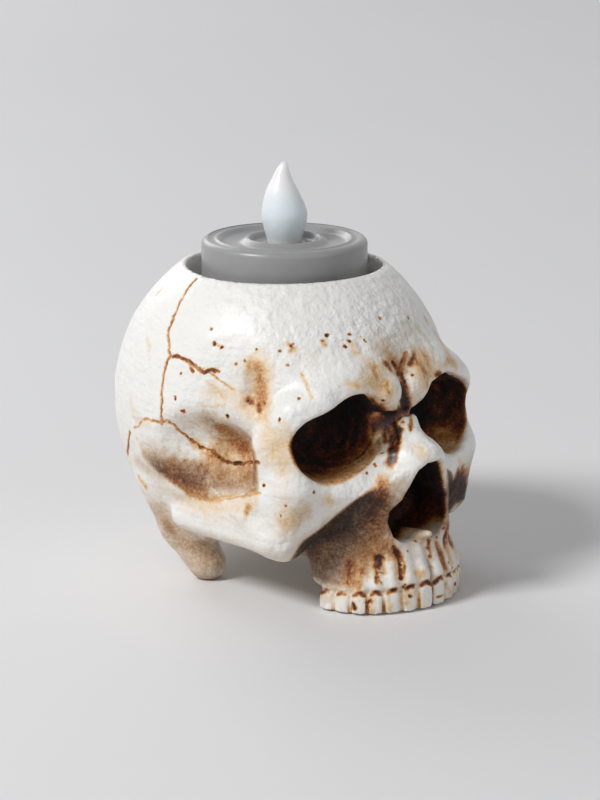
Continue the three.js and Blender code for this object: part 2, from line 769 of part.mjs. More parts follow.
function ledSolid() {
  const top = ledFoot + ledHeight;
  const outline = [[0, ledFoot], [ledFlange, ledFoot], [ledFlange, ledFoot + ledFlangeHeight],
    [ledRadius, ledFoot + ledFlangeHeight]];
  for (let i = 0; i < edgeSteps; i += 1) {
    const a = i / edgeSteps * Math.PI / 2;
    outline.push([ledRadius * Math.cos(a), top - ledRadius + ledRadius * Math.sin(a)]);
  }
  outline.push([0, top]);
  return turned(outline, smallSteps);
}

function leadSolid(side) {
  const x = side * leadPitch / 2;
  const half = leadWidth / 2;
  return block([x - half, -half, boardBottom - gap], [x + half, half, ledFoot - gap]);
}

const boardBack = boardLength - switchOffset - switchWidth;
const switchBottom = plateTop + gap + sliderHead + gap;
const cellX = -cellOffset;
const positiveX = cellX + cellRadius + gap;
const negativeX = cellX - cellRadius / 2;
const pegX = cellX;
const pegY = boardWidth / 2 - pegRadius;
const chipX = boardLength / 4;

function boardSolid() {
  const half = boardWidth / 2;
  let board = block([-boardBack, -half, boardBottom], [boardLength - boardBack, half, boardTop]);
  const hole = leadWidth / 2 + gap;
  for (const side of [-1, 1]) {
    const x = side * leadPitch / 2;
    board = board.subtract(block(
      [x - hole, -hole, boardBottom - overrun],
      [x + hole, hole, boardTop + overrun],
    ));
  }
  return board;
}

function basePlateSolid() {
  const outer = pocketRadius + pocketWall;
  const low = baseZ - overrun;
  let plate = disc(plateRadius, baseZ, plateTop);
  plate = plate.add(disc(outer, baseZ, pocketTop + pocketRoof, roundSteps, cellX));
  // pocket, cover opening, and the track that the cover's lugs turn in
  plate = plate.subtract(disc(pocketRadius, low, pocketTop, roundSteps, cellX));
  plate = plate.subtract(disc(coverRadius + gap, low, coverTop + gap, roundSteps, cellX));
  const lugOuter = coverRadius + lugReach + gap;
  const spare = lugAngle / 10;
  for (const start of [0, 180]) {
    const from = start - lugAngle / 2 - spare;
    const to = start + lugAngle / 2 + turnAngle + spare;
    const trackBottom = coverTop - lugThickness - gap;
    plate = plate.subtract(sector(coverRadius, lugOuter, from, to, trackBottom, coverTop + gap, cellX));
    const open = to - lugAngle - spare - spare;
    plate = plate.subtract(sector(coverRadius, lugOuter, open, to, low, coverTop + gap, cellX));
  }
  // slot for the switch's slider
  const slotLength = sliderLength / 2 + switchTravel / 2 + gap;
  const slotWidth = sliderWidth / 2 + gap;
  plate = plate.subtract(block(
    [switchOffset - slotWidth, -slotLength, low],
    [switchOffset + slotWidth, slotLength, plateTop + overrun],
  ));
  // ways for the two contacts through the pocket's wall and roof
  const reach = contactWidth / 2 + gap;
  plate = plate.subtract(block(
    [positiveX - gap, -reach, cellBottom - gap],
    [positiveX + contactThickness + gap, reach, pocketTop + pocketRoof + overrun],
  ));
  plate = plate.subtract(block(
    [negativeX - gap, -reach, cellBottom],
    [negativeX + contactThickness + gap, reach, pocketTop + pocketRoof + overrun],
  ));
  // two pegs that carry the board
  for (const side of [-1, 1]) {
    plate = plate.add(disc(pegRadius, pocketTop, boardBottom - gap, smallSteps, pegX, side * pegY));
  }
  return plate;
}

function coverSolid() {
  let cover = disc(coverRadius, baseZ, coverTop, roundSteps, cellX);
  for (const start of [0, 180]) {
    const outer = coverRadius + lugReach;
    const from = start - lugAngle / 2;
    const to = start + lugAngle / 2;
    const inner = coverRadius - lugReach;
    cover = cover.add(sector(inner, outer, from, to, coverTop - lugThickness, coverTop, cellX));
  }
  const halfLength = coinSlotLength / 2;
  const halfWidth = coinSlotWidth / 2;
  return cover.subtract(block(
    [cellX - halfLength, -halfWidth, baseZ - overrun],
    [cellX + halfLength, halfWidth, baseZ + coinSlotDepth],
  ));
}

function cellSolid() {
  const step = cellThickness / 8;
  return turned([
    [0, cellBottom], [cellRadius, cellBottom], [cellRadius, cellTop - step],
    [cellRadius - step - step, cellTop - step], [cellRadius - step - step, cellTop], [0, cellTop],
  ], roundSteps, cellX);
}

function negativeSolid() {
  const half = contactWidth / 2;
  const leaf = block(
    [negativeX, -half, leafBottom],
    [cellX + contactWidth, half, leafBottom + contactThickness],
  );
  const tab = block(
    [negativeX, -half, leafBottom],
    [negativeX + contactThickness, half, boardBottom - gap],
  );
  return leaf.add(tab);
}

function positiveSolid() {
  const half = contactWidth / 2;
  return block(
    [positiveX, -half, cellBottom],
    [positiveX + contactThickness, half, boardBottom - gap],
  );
}

function switchSolid() {
  const halfLength = switchLength / 2;
  const halfWidth = switchWidth / 2;
  return block(
    [switchOffset - halfWidth, -halfLength, switchBottom],
    [switchOffset + halfWidth, halfLength, boardBottom - gap],
  );
}

// the slider is made at the end of its travel where the light is off
function sliderSolid() {
  const middle = -switchTravel / 2;
  const halfLength = sliderLength / 2;
  const halfWidth = sliderWidth / 2;
  const headBottom = plateTop + gap;
  const headWidth = halfWidth + sliderHeadMargin;
  const headLength = halfLength + sliderHeadMargin;
  const stem = block(
    [switchOffset - halfWidth, middle - halfLength, baseZ + sliderRecess],
    [switchOffset + halfWidth, middle + halfLength, headBottom + sliderHead],
  );
  return stem.add(block(
    [switchOffset - headWidth, middle - headLength, headBottom],
    [switchOffset + headWidth, middle + headLength, headBottom + sliderHead],
  ));
}

function chipSolid() {
  const foot = boardTop + gap;
  return turned([
    [0, foot], [chipRadius, foot], [chipRadius * 3 / 4, foot + chipHeight * 3 / 4], [0, foot + chipHeight],
  ], smallSteps, chipX);
}

// Finishes and the assembly
const resin = new THREE.MeshStandardMaterial({ color: 0xd9d4ca, roughness: 0.4, metalness: 0 });
const greyPlastic = new THREE.MeshStandardMaterial({ color: 0x86868a, roughness: 0.38, metalness: 0 });
const milkyPlastic = new THREE.MeshStandardMaterial({ color: 0xe6ebf2, roughness: 0.25, metalness: 0 });
const amberLens = new THREE.MeshStandardMaterial({ color: 0xf0b050, roughness: 0.15, metalness: 0 });
const tin = new THREE.MeshStandardMaterial({ color: 0xb8b8b4, roughness: 0.35, metalness: 1 });
const steel = new THREE.MeshStandardMaterial({ color: 0xc8c8c8, roughness: 0.25, metalness: 1 });
const board = new THREE.MeshStandardMaterial({ color: 0x2f6b3c, roughness: 0.55, metalness: 0 });
const blackResin = new THREE.MeshStandardMaterial({ color: 0x101012, roughness: 0.45, metalness: 0 });

const group = new THREE.Group();

function place(name, solid, material) {
  const mesh = new THREE.Mesh(toGeometry(solid), material);
  mesh.name = name;
  group.add(mesh);
}

place('skull_casting', skullSolid(), resin);
place('candle_housing', housingSolid(), greyPlastic);
place('flame_lens', flameSolid(), milkyPlastic);
place('led_body', ledSolid(), amberLens);
place('led_lead_positive', leadSolid(1), tin);
place('led_lead_negative', leadSolid(-1), tin);
place('circuit_board', boardSolid(), board);
place('flicker_chip', chipSolid(), blackResin);
place('switch_body', switchSolid(), blackResin);
place('switch_slider', sliderSolid(), blackResin);
place('base_plate', basePlateSolid(), greyPlastic);
place('contact_positive', positiveSolid(), tin);
place('contact_negative', negativeSolid(), tin);
place('coin_cell', cellSolid(), steel);
place('battery_cover', coverSolid(), greyPlastic);

// the middle of the whole stands over the origin
const bounds = new THREE.Box3().setFromObject(group, true);
group.position.y = -(bounds.min.y + bounds.max.y) / 2;

export default group;
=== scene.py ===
"""Skull candle holder with a battery tealight in its crown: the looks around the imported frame."""
import json
import math

import bmesh
import bpy
import numpy as np
from mathutils import Matrix, Vector
from mathutils.bvhtree import BVHTree


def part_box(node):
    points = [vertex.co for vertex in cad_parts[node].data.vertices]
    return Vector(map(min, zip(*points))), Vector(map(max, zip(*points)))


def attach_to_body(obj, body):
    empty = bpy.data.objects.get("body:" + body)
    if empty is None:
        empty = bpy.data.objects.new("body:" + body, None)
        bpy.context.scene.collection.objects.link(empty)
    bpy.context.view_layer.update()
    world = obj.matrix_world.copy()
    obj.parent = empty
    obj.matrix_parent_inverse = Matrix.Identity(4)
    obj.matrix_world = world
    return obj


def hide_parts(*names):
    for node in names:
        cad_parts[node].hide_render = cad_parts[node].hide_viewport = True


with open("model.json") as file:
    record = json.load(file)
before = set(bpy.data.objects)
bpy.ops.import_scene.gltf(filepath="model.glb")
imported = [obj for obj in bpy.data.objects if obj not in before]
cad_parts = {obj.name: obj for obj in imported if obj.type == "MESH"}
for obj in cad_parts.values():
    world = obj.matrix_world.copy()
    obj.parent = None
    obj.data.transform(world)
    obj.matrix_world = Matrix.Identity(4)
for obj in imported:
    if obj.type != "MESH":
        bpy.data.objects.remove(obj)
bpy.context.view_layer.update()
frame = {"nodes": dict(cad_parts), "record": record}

# Places from the frame
SKULL_LOW, SKULL_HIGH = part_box("skull_casting")
HOUSING_LOW, HOUSING_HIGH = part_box("candle_housing")
FLAME_LOW, FLAME_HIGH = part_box("flame_lens")
AXIS = (HOUSING_LOW + HOUSING_HIGH) / 2

# The skull is sculpted in units of a millimetre at the size that it has here: x to the skull's
# left, f forward and z up, from the well's axis on the table.
RIM_HEIGHT = 71.6
UNIT = (SKULL_HIGH.z - SKULL_LOW.z) / RIM_HEIGHT
WELL_RADIUS = 22.3
# the gap under the tealight in its well, in metres
TEALIGHT_GAP = 0.0003
WELL_FLOOR = (HOUSING_LOW.z - TEALIGHT_GAP) / UNIT

# The photograph's camera, in the same units and in pixels of the photograph
IMAGE_SIZE = (600, 800)
CAMERA_AZIMUTH = math.radians(-44)
CAMERA_ELEVATION = math.radians(14.55)
CAMERA_DISTANCE = 646.5
CAMERA_TARGET = (0, 5.1, 39.6)
FOCAL_PIXELS = 2807.2


def camera_axes():
    """Right, up and back of the camera, as x, f, z."""
    side, rise = CAMERA_AZIMUTH, CAMERA_ELEVATION
    back = (math.sin(side) * math.cos(rise), math.cos(side) * math.cos(rise), math.sin(rise))
    right = (math.cos(side), -math.sin(side), 0)
    up = (-math.sin(side) * math.sin(rise), -math.cos(side) * math.sin(rise), math.cos(rise))
    return np.array(right), np.array(up), np.array(back)


def camera_place():
    return np.array(CAMERA_TARGET) + CAMERA_DISTANCE * camera_axes()[2]


def to_frame(points):
    """Sculpt points as points of the frame, in metres."""
    points = np.asarray(points, float)
    return np.stack([
        AXIS.x + points[..., 0] * UNIT,
        AXIS.y - points[..., 1] * UNIT,
        SKULL_LOW.z + points[..., 2] * UNIT,
    ], -1)


# The sculpt's tools: ramps, distances to simple forms, and blends between them
def smooth(low, high, value):
    """0 at low, 1 at high, and smooth between. It falls where low is above high."""
    t = np.clip((value - low) / (high - low), 0, 1)
    return t * t * (3 - 2 * t)


def sine_cosine(degrees):
    turn = math.radians(degrees)
    return math.sin(turn), math.cos(turn)


def blend_in(a, b, k):
    """Two forms joined, with a fillet about k wide."""
    h = np.maximum(k - np.abs(a - b), 0) / k
    return np.minimum(a, b) - h * h * k / 4


def blend_out(a, b, k):
    """What two forms share, with an edge rounded about k wide."""
    return -blend_in(-a, -b, k)


def egg(p, centre, radii, yaw=0):
    """Distance to an ellipsoid, turned by yaw degrees about its upright axis."""
    q = p - np.asarray(centre, np.float32)
    if yaw:
        s, c = sine_cosine(yaw)
        q = np.stack([q[:, 0] * c + q[:, 1] * s, q[:, 1] * c - q[:, 0] * s, q[:, 2]], -1)
    r = np.asarray(radii, np.float32)
    k0 = np.sqrt(((q / r) ** 2).sum(-1))
    k1 = np.sqrt(((q / (r * r)) ** 2).sum(-1))
    return k0 * (k0 - 1) / np.maximum(k1, 1e-6)


def rod(p, points, blend):
    """Distance to a bent rod through points that are given with its radius there."""
    points = np.asarray(points, np.float32)
    result = None
    for a, b in zip(points[:-1], points[1:]):
        along = b[:3] - a[:3]
        t = np.clip(((p - a[:3]) @ along) / (along @ along), 0, 1)
        d = np.sqrt(((p - a[:3] - t[:, None] * along) ** 2).sum(-1)) - (a[3] + (b[3] - a[3]) * t)
        result = d if result is None else blend_in(result, d, blend)
    return result


def plate(p, corners, thickness):
    """Distance to a triangular plate with rounded edges."""
    a, b, c = (np.asarray(v, np.float32) for v in corners)
    normal = np.cross(b - a, c - b)
    normal /= np.linalg.norm(normal)
    nearest, inside = None, np.ones(len(p), bool)
    for start, end in ((a, b), (b, c), (c, a)):
        edge, q = end - start, p - start
        t = np.clip((q @ edge) / (edge @ edge), 0, 1)
        away = q - t[:, None] * edge
        d = (away * away).sum(-1)
        nearest = d if nearest is None else np.minimum(nearest, d)
        inside &= q @ np.cross(edge, normal) <= 0
    over = ((p - a) @ normal) ** 2
    return np.sqrt(np.where(inside, over, nearest)) - thickness


# large odd numbers that scatter the place of a cell into a random value
CELL_FACTORS = (73856093, 19349663, 83492791)
SEED_FACTOR = 2654435
SCATTER_FACTOR = 1274126177


def noise(p, size, seed):
    """Smooth random values from -1 to 1, with features about size across."""
    q = p / size + seed * 7.31
    cell = np.floor(q).astype(np.int64)
    t = (q - cell).astype(np.float32)
    t = t * t * (3 - 2 * t)
    total = 0
    for corner in range(8):
        step = np.array([corner & 1, corner >> 1 & 1, corner >> 2])
        mixed = np.bitwise_xor.reduce((cell + step) * CELL_FACTORS, -1) ^ (seed * SEED_FACTOR)
        mixed = (mixed ^ (mixed >> 13)) * SCATTER_FACTOR & 0x7FFFFFFF
        value = (mixed ^ (mixed >> 16)) % 65536 / 32768 - 1
        weight = np.where(step, t, 1 - t).prod(-1)
        total = total + value * weight
    return total


# The cranium's centre and radii, and those of the cap that flattens its crown, with their blend
CRANIUM = ((0, -1, 39.5), (36.3, 41.5, 42.0))
CAP = ((0, 0, 22.9), (46, 46, 56.6), 3)
# The other main forms, in the order in which they are joined or cut, once or as a pair.
# egg: centre, radii, yaw, blend. rod: points with radii, blend. plate: corners, half thickness,
# blend.
FORMS = [
    ("temple", "cut", "pair", "egg", (41.5, 25, 50), (10, 16, 19), -10, 8),
    ("base", "cut", "mid", "egg", (0, -2, -14), (40, 46, 27), 0, 4),
    ("temporal_fossa", "cut", "pair", "egg", (40, 16.5, 33.5), (13, 21, 12), 6, 3.5),
    ("face", "add", "mid", "egg", (0, 22, 36), (23, 15, 16), 0, 6),
    ("brow", "add", "pair", "rod",
     [(25, 30, 44.4, 3.6), (20, 32, 47.2, 3.5), (13, 32.8, 50.0, 3.5), (7.5, 32, 52, 2.8)], 5),
    ("socket_frame", "add", "pair", "plate",
     [(25.2, 28.6, 45.4), (25.6, 29.4, 30), (27.4, 24.6, 38)], 3.6, 2.5),
    ("cheek_frame", "add", "pair", "plate",
     [(25.6, 28.8, 30), (27.4, 24, 38), (27.8, 21.6, 25)], 3.7, 2.5),
    ("cheek_front", "add", "pair", "plate",
     [(26, 27, 16.4), (25.6, 29.8, 28.6), (12.5, 35.6, 26)], 3.9, 4),
    ("cheek_side", "add", "pair", "plate",
     [(26, 27, 16.4), (25.6, 29.6, 28.6), (28.2, 19.5, 21.5)], 4, 3),
    ("arch", "add", "pair", "plate", [(28.2, 25, 16.4), (28.6, 18, 21.6), (29.6, -1, 17.2)], 3.6, 2),
    ("jaw", "jaw"),
    ("behind_arch", "cut", "pair", "egg", (24, 14, 8.5), (5.5, 13, 9), 0, 3),
    ("under_cheek", "cut", "pair", "egg", (24.5, 39, 11), (9.5, 7.5, 9.5), -38, 1.4),
    ("cheek_edge", "cut", "pair", "rod",
     [(26.6, 35, 11.2, 6), (23.6, 37.4, 14.3, 6), (19.6, 39.4, 17.7, 5.8), (12.6, 42.8, 23.4, 4)], 1),
    ("between_brows", "cut", "mid", "egg", (0, 43, 49.5), (5.5, 7.5, 8), 0, 3),
    ("nose_bridge", "add", "mid", "rod",
     [(0, 34.2, 44.6, 2.3), (0, 37.2, 40.6, 2.4), (0, 41.2, 37.0, 2.4), (0, 45.6, 34.8, 2.7)], 2),
    ("nose_side", "add", "pair", "plate", [(2.4, 43.9, 33), (6.0, 33.8, 40.4), (11, 37.2, 22)], 2.7, 2),
    ("nose_edge", "add", "pair", "plate", [(2.4, 43.9, 33), (11, 37.2, 22), (8, 40, 16)], 2.9, 3),
    ("nose_opening", "nose"),
    ("nose_spine", "add", "mid", "rod", [(0, 38, 13.8, 2.6), (0, 46.4, 16.6, 0.7)], 1),
    ("sockets", "socket"),
    ("inner_corner", "cut", "pair", "egg", (8.4, 38.5, 41.5), (5.4, 7.5, 6.2), 18, 1.2),
    ("brow_bumps", "bump"),
    ("under_bumps", "cut", "pair", "rod", [(0, 38.2, 42.8, 0.9), (7, 38.4, 42.0, 1.4)], 0.8),
    ("between_bumps", "cut", "mid", "rod",
     [(0, 38.6, 43.6, 1.4), (0, 38.4, 50, 1.2), (0, 38.2, 54, 0.7)], 0.8),
    ("temple_dimple", "cut", "pair", "egg", (31.4, 21.6, 50.3), (4.2, 4.6, 8), -30, 1.0),
    ("behind_frame", "cut", "pair", "egg", (35, 14.4, 33), (10.2, 8.6, 9.4), 0, 0.8),
    ("mastoid_lobe", "add", "pair", "rod",
     [(25.5, -13, 23, 6.5), (24, -9, 12, 5.2), (21.8, -3, 3.6, 4.4)], 2),
    ("palate", "cut", "mid", "egg", (0, 27, 0), (12, 15.5, 8.5), 0, 2),
]
JAW = {"back": 15, "width": 19.6, "widen": -0.12, "depth": 31.7, "taper": 0.15, "round": 2.6,
       "top": 30, "top_blend": 6, "bottom": 4.3, "gum_rise": 1.7, "gum_rise_from": 33,
       "gum_rise_over": 15, "gum_blend": 1.0, "rear": 26.6, "rear_at": 4, "rear_lean": 0.37,
       "rear_blend": 4, "blend": 4}
NOSE_HEIGHTS = [14.6, 15.4, 16.8, 19.4, 20.4, 22.9, 25.5, 27.3, 29.3, 32.2, 34.6]
NOSE_HALF_WIDTHS = [3.5, 6.0, 8.0, 9.0, 9.1, 8.6, 6.4, 5.7, 4.8, 3.5, 0.5]
NOSE = {"front": 42, "flare": 0.12, "floor": 15.2, "drop": 0.2, "roof": 33.4, "rise": 0.1,
        "steepness": 0.85, "back": 30.5, "back_blend": 3, "blend": 1.2}
SOCKET = {"plane": 42.77, "slant": 0.283, "lean": 0.0595, "centre": (17.8, 39.2), "inward": 0.22,
          "lip": 1, "depth": 20, "round": 2.5, "size": 7.5, "blend": 0.9}
# reach of the socket's rim from its centre, every 30 degrees from the outer side over the top
SOCKET_RIM = [10.3, 9.3, 8.4, 9.0, 11.6, 11.9, 10.9, 9.9, 8.9, 9.4, 10.1, 10.0]
BUMP = {"centre": (4.3, 35.0, 48.1), "radii": (4.7, 4.9, 4.8), "apart": 0.4, "blend": 1.6}
# The teeth of one side: x, f of the outer face, half width, turn in degrees, height to the gum
TEETH = [
    (2.25, 48.2, 2.2, 5, 6.0),
    (6.4, 47.2, 2.0, 15, 5.6),
    (10.3, 45.5, 2.05, 27, 5.2),
    (13.7, 43.3, 1.85, 42, 5.0),
    (16.5, 40.8, 1.95, 54, 4.8),
    (18.3, 37.1, 2.0, 66, 4.5),
    (19.3, 33.1, 2.15, 77, 4.3),
]
# half thickness, how much a tooth narrows and thins to its ends and thins downwards, how
# square its corners are across, along and up, and how steeply its distance grows
TOOTH = {"thickness": 2.2, "narrow": 0.1, "thin": 0.16, "wedge": 0.04, "square": (3.4, 3, 6),
         "root": 0.29, "steepness": 0.8, "over": 0.4, "under": 0.9}
# a root's places and radii: inwards of the tooth's face, above the gum, and at its upper end
ROOT = {"inward": 2.0, "above": 1.4, "radius": 1.8, "top_inward": 2.9, "top": 13.5,
        "top_radius": 1.0, "closer": (0.9, 0.97), "blend": 1}
TOOTH_BLEND = 0.4
# f from which the teeth are worn and their gums are stained, rising to the full at the second
TEETH_FRONT = (24, 28)
ROOT_BLEND = 1.6
# how far the edges of the well's floor and of its rim are rounded, on the plain and on the
# finished skull
PLAIN_WELL = (0.8, 1.2)
FINISHED_WELL = (0.6, 0.8)


def jaw_distance(out, f, z):
    """The upper jaw: a rounded arch that narrows upwards, cut off above, below and behind."""
    j = JAW
    across = out / (j["width"] + j["widen"] * z)
    along = np.maximum(f - j["back"], 0) / (j["depth"] - j["taper"] * z)
    d = ((across ** j["round"] + along ** j["round"]) ** (1 / j["round"]) - 1) * j["back"]
    d = blend_out(d, z - j["top"], j["top_blend"])
    rise = np.clip((f - j["gum_rise_from"]) / j["gum_rise_over"], 0, 1)
    d = blend_out(d, j["bottom"] + j["gum_rise"] * rise - z, j["gum_blend"])
    return blend_out(d, j["rear"] - j["rear_lean"] * (z - j["rear_at"]) - f, j["rear_blend"])


def nose_distance(out, f, z):
    """The nose opening, which widens inwards."""
    n = NOSE
    inside = np.maximum(n["front"] - f, 0)
    half = np.interp(z, NOSE_HEIGHTS, NOSE_HALF_WIDTHS) + n["flare"] * inside
    beyond = np.maximum(n["floor"] - n["drop"] * inside - z, z - n["roof"] - n["rise"] * inside)
    d = np.maximum(out - half, beyond) * n["steepness"]
    return blend_out(d, n["back"] - f, n["back_blend"])


def socket_depth(out, f, z):
    """How far a point lies behind the plane of the socket's rim."""
    return SOCKET["plane"] - SOCKET["slant"] * out - SOCKET["lean"] * z - f


def socket_distance(out, f, z):
    """The eye socket: its rim's outline drawn inwards, and rounded off at its back."""
    s = SOCKET
    deep = socket_depth(out, f, z)
    across = out - s["centre"][0] + s["inward"] * np.maximum(deep, 0)
    rise = z - s["centre"][1]
    turn = np.arctan2(rise, across) % (2 * math.pi)
    rim = np.array(SOCKET_RIM)
    steps = np.fft.rfft(rim) / len(rim)
    reach = steps[0].real
    for k in range(1, 5):
        reach = reach + 2 * (steps[k].real * np.cos(k * turn) - steps[k].imag * np.sin(k * turn))
    share = np.hypot(across, rise) / reach
    inner = np.sqrt(share ** 2 + np.maximum((deep + s["lip"]) / s["depth"], 0) ** s["round"])
    return (np.where(deep < -s["lip"], share, inner) - 1) * s["size"]


def bump_distance(pair, other):
    """The two bumps between the brows."""
    one = egg(pair, BUMP["centre"], BUMP["radii"])
    return blend_in(one, egg(other, BUMP["centre"], BUMP["radii"]), BUMP["apart"])


def tooth_distance(p, tooth):
    """A tooth: a rounded block that narrows a little at both ends."""
    x, f, half, turn, height = tooth
    t = TOOTH
    s, c = sine_cosine(turn)
    q = p - np.array([x - t["thickness"] * s, f - t["thickness"] * c, 0], np.float32)
    u = q[:, 0] * c - q[:, 1] * s
    v = q[:, 0] * s + q[:, 1] * c
    z = (q[:, 2] - height / 2 + t["over"]) / (height / 2 + t["under"])
    wide = half * (1 - t["narrow"] * z * z)
    thick = t["thickness"] * (1 - t["thin"] * z * z - t["wedge"] * z)
    across, along, up = t["square"]
    sum_of_powers = np.abs(u / wide) ** across + np.abs(v / thick) ** along + z ** up
    return (sum_of_powers ** t["root"] - 1) * half * t["steepness"]


def root_distance(p, tooth):
    """The low ridge in the gum over a tooth."""
    x, f, _, turn, height = tooth
    r = ROOT
    s, c = sine_cosine(turn)
    low = (x - r["inward"] * s, f - r["inward"] * c, height + r["above"], r["radius"])
    high = (x * r["closer"][0] - r["top_inward"] * s, f * r["closer"][1] - r["top_inward"] * c,
            r["top"], r["top_radius"])
    return rod(p, [low, high], r["blend"])


def form_distance(at, kind, sizes, blend):
    if kind == "egg":
        return egg(at, *sizes)
    if kind == "rod":
        return rod(at, sizes[0], blend)
    return plate(at, *sizes)


def with_well(d, p, well_blend, rim_blend):
    """A body cut flat at the rim's height, with the well cut into it."""
    well = np.maximum(np.hypot(p[:, 0], p[:, 1]) - WELL_RADIUS, WELL_FLOOR - p[:, 2])
    return blend_out(blend_out(d, -well, well_blend), p[:, 2] - RIM_HEIGHT, rim_blend)


def skull_distance(p):
    """Distance to the skull's surface at sculpt points, negative inside."""
    p = p.astype(np.float32)
    x, f, z = p.T
    out = np.abs(x)
    pair = np.stack([out, f, z], -1)
    other = np.stack([-out, f, z], -1)
    d = egg(p, *CRANIUM)
    d = blend_out(d, egg(p, *CAP[:2]), CAP[2])
    for _, way, *form in FORMS:
        if way == "jaw":
            d = blend_in(d, jaw_distance(out, f, z), JAW["blend"])
            for tooth in TEETH:
                d = blend_in(d, root_distance(pair, tooth), ROOT_BLEND)
        elif way == "nose":
            d = blend_out(d, -nose_distance(out, f, z), NOSE["blend"])
        elif way == "socket":
            d = blend_out(d, -socket_distance(out, f, z), SOCKET["blend"])
        elif way == "bump":
            d = blend_in(d, bump_distance(pair, other), BUMP["blend"])
        else:
            side, kind, *sizes, blend = form
            e = form_distance(p if side == "mid" else pair, kind, sizes, blend)
            d = blend_in(d, e, blend) if way == "add" else blend_out(d, -e, blend)
    for tooth in TEETH:
        d = blend_in(d, tooth_distance(pair, tooth), TOOTH_BLEND)
    return with_well(np.maximum(d, -z), p, *PLAIN_WELL)


def slope(field, p, step=0.05):
    """A field's value, the unit direction in which it grows, and how fast it grows."""
    here = field(p)
    rise = np.stack([field(p + np.eye(3)[k] * step) - here for k in range(3)], -1) / step
    size = np.linalg.norm(rise, axis=-1, keepdims=True)
    return here, rise / np.maximum(size, 1e-6), np.maximum(size[:, 0], 0.3)


def settle(field, p, reach, rounds=2):
    """Draws points onto the field's zero level, no further than reach in a round."""
    for _ in range(rounds):
        here, way, steep = slope(field, p)
        p = p - np.clip(here / steep, -reach, reach)[:, None] * way
    return p


# The skull's surface: the box that its first, even mesh is found in, and that mesh's cell
GRID_LOW = (-39, -46, -3)
GRID_HIGH = (39, 54, 75)
GRID_CELL = 1.0
# the surface's slow and fine unevenness, and what pebbles add to the fine one
UNEVEN = {"slow": 0.12, "slow_size": 5.0, "fine": 0.045, "pebble": 0.07, "fine_size": 1.7}
# how the edges of the teeth are worn, and how far the marks' and the gum's edges are rounded
WORN = {"depth": 0.9, "size": 2.7, "level": 0.12, "most": 0.7}
MARK_BLEND = 0.25
GUM_BLEND = 0.3
# how often the mesh is refined and then drawn onto the finished surface, and how far in a round
ROUNDS = 3
ROUND_REACH = 0.35
# longest edges of the mesh: short where there is more to show
EDGE_LENGTHS = {"back": 1.5, "front": 1.0, "face": 0.85, "opening": 0.75, "teeth": 0.6, "gum": 0.4,
                "beside a mark": 0.7, "mark": 0.35, "hidden": 2.5}


def surface_nets(field, low, high, cell):
    """Points and quads of the zero level: one point in each grid cell that it passes."""
    lines = [np.arange(a, b + cell, cell) for a, b in zip(low, high)]
    grid = np.stack(np.meshgrid(*lines, indexing="ij"), -1)
    values = np.concatenate([field(layer.reshape(-1, 3)) for layer in grid]).reshape(grid.shape[:3])
    inside = values < 0
    total = np.zeros([n - 1 for n in values.shape] + [3])
    count = np.zeros([n - 1 for n in values.shape])
    crossings = []
    for axis in range(3):
        a = np.moveaxis(values, axis, 0)[:-1]
        b = np.moveaxis(values, axis, 0)[1:]
        cross = (a < 0) != (b < 0)
        share = np.where(cross, a / np.where(cross, a - b, 1), 0)
        place = np.moveaxis(np.moveaxis(grid, axis, 0)[:-1].copy(), 0, axis)
        cross, share = np.moveaxis(cross, 0, axis), np.moveaxis(share, 0, axis)
        place[..., axis] += share * cell
        crossings.append(cross)
        u, v = [k for k in range(3) if k != axis]
        for i in (0, 1):
            for j in (0, 1):
                part = [slice(None)] * 3
                part[u] = slice(i, cross.shape[u] - 1 + i)
                part[v] = slice(j, cross.shape[v] - 1 + j)
                part = tuple(part)
                total += np.where(cross[part][..., None], place[part], 0)
                count += cross[part]
    used = count > 0
    index = np.full(used.shape, -1)
    index[used] = np.arange(used.sum())
    points = total[used] / count[used][:, None]
    quads = []
    for axis in range(3):
        u, v = (axis + 1) % 3, (axis + 2) % 3
        where = np.argwhere(crossings[axis])
        where = where[(where[:, u] > 0) & (where[:, v] > 0)]
        corners = []
        for i, j in ((0, 0), (1, 0), (1, 1), (0, 1)):
            at = where.copy()
            at[:, u] -= i
            at[:, v] -= j
            corners.append(index[tuple(at.T)])
        quad = np.stack(corners, -1)
        within = inside[tuple(where.T)]
        quad[~within] = quad[~within][:, ::-1]
        quads.append(quad)
    return points, np.concatenate(quads)


def halves(points, quads):
    """Triangles from quads, each cut along its shorter diagonal."""
    a, b, c, d = quads.T
    first = np.linalg.norm(points[a] - points[c], axis=-1)
    second = np.linalg.norm(points[b] - points[d], axis=-1)
    short = (first <= second)[:, None]
    one = np.where(short, np.stack([a, b, c], -1), np.stack([a, b, d], -1))
    two = np.where(short, np.stack([a, c, d], -1), np.stack([b, c, d], -1))
    return np.concatenate([one, two])


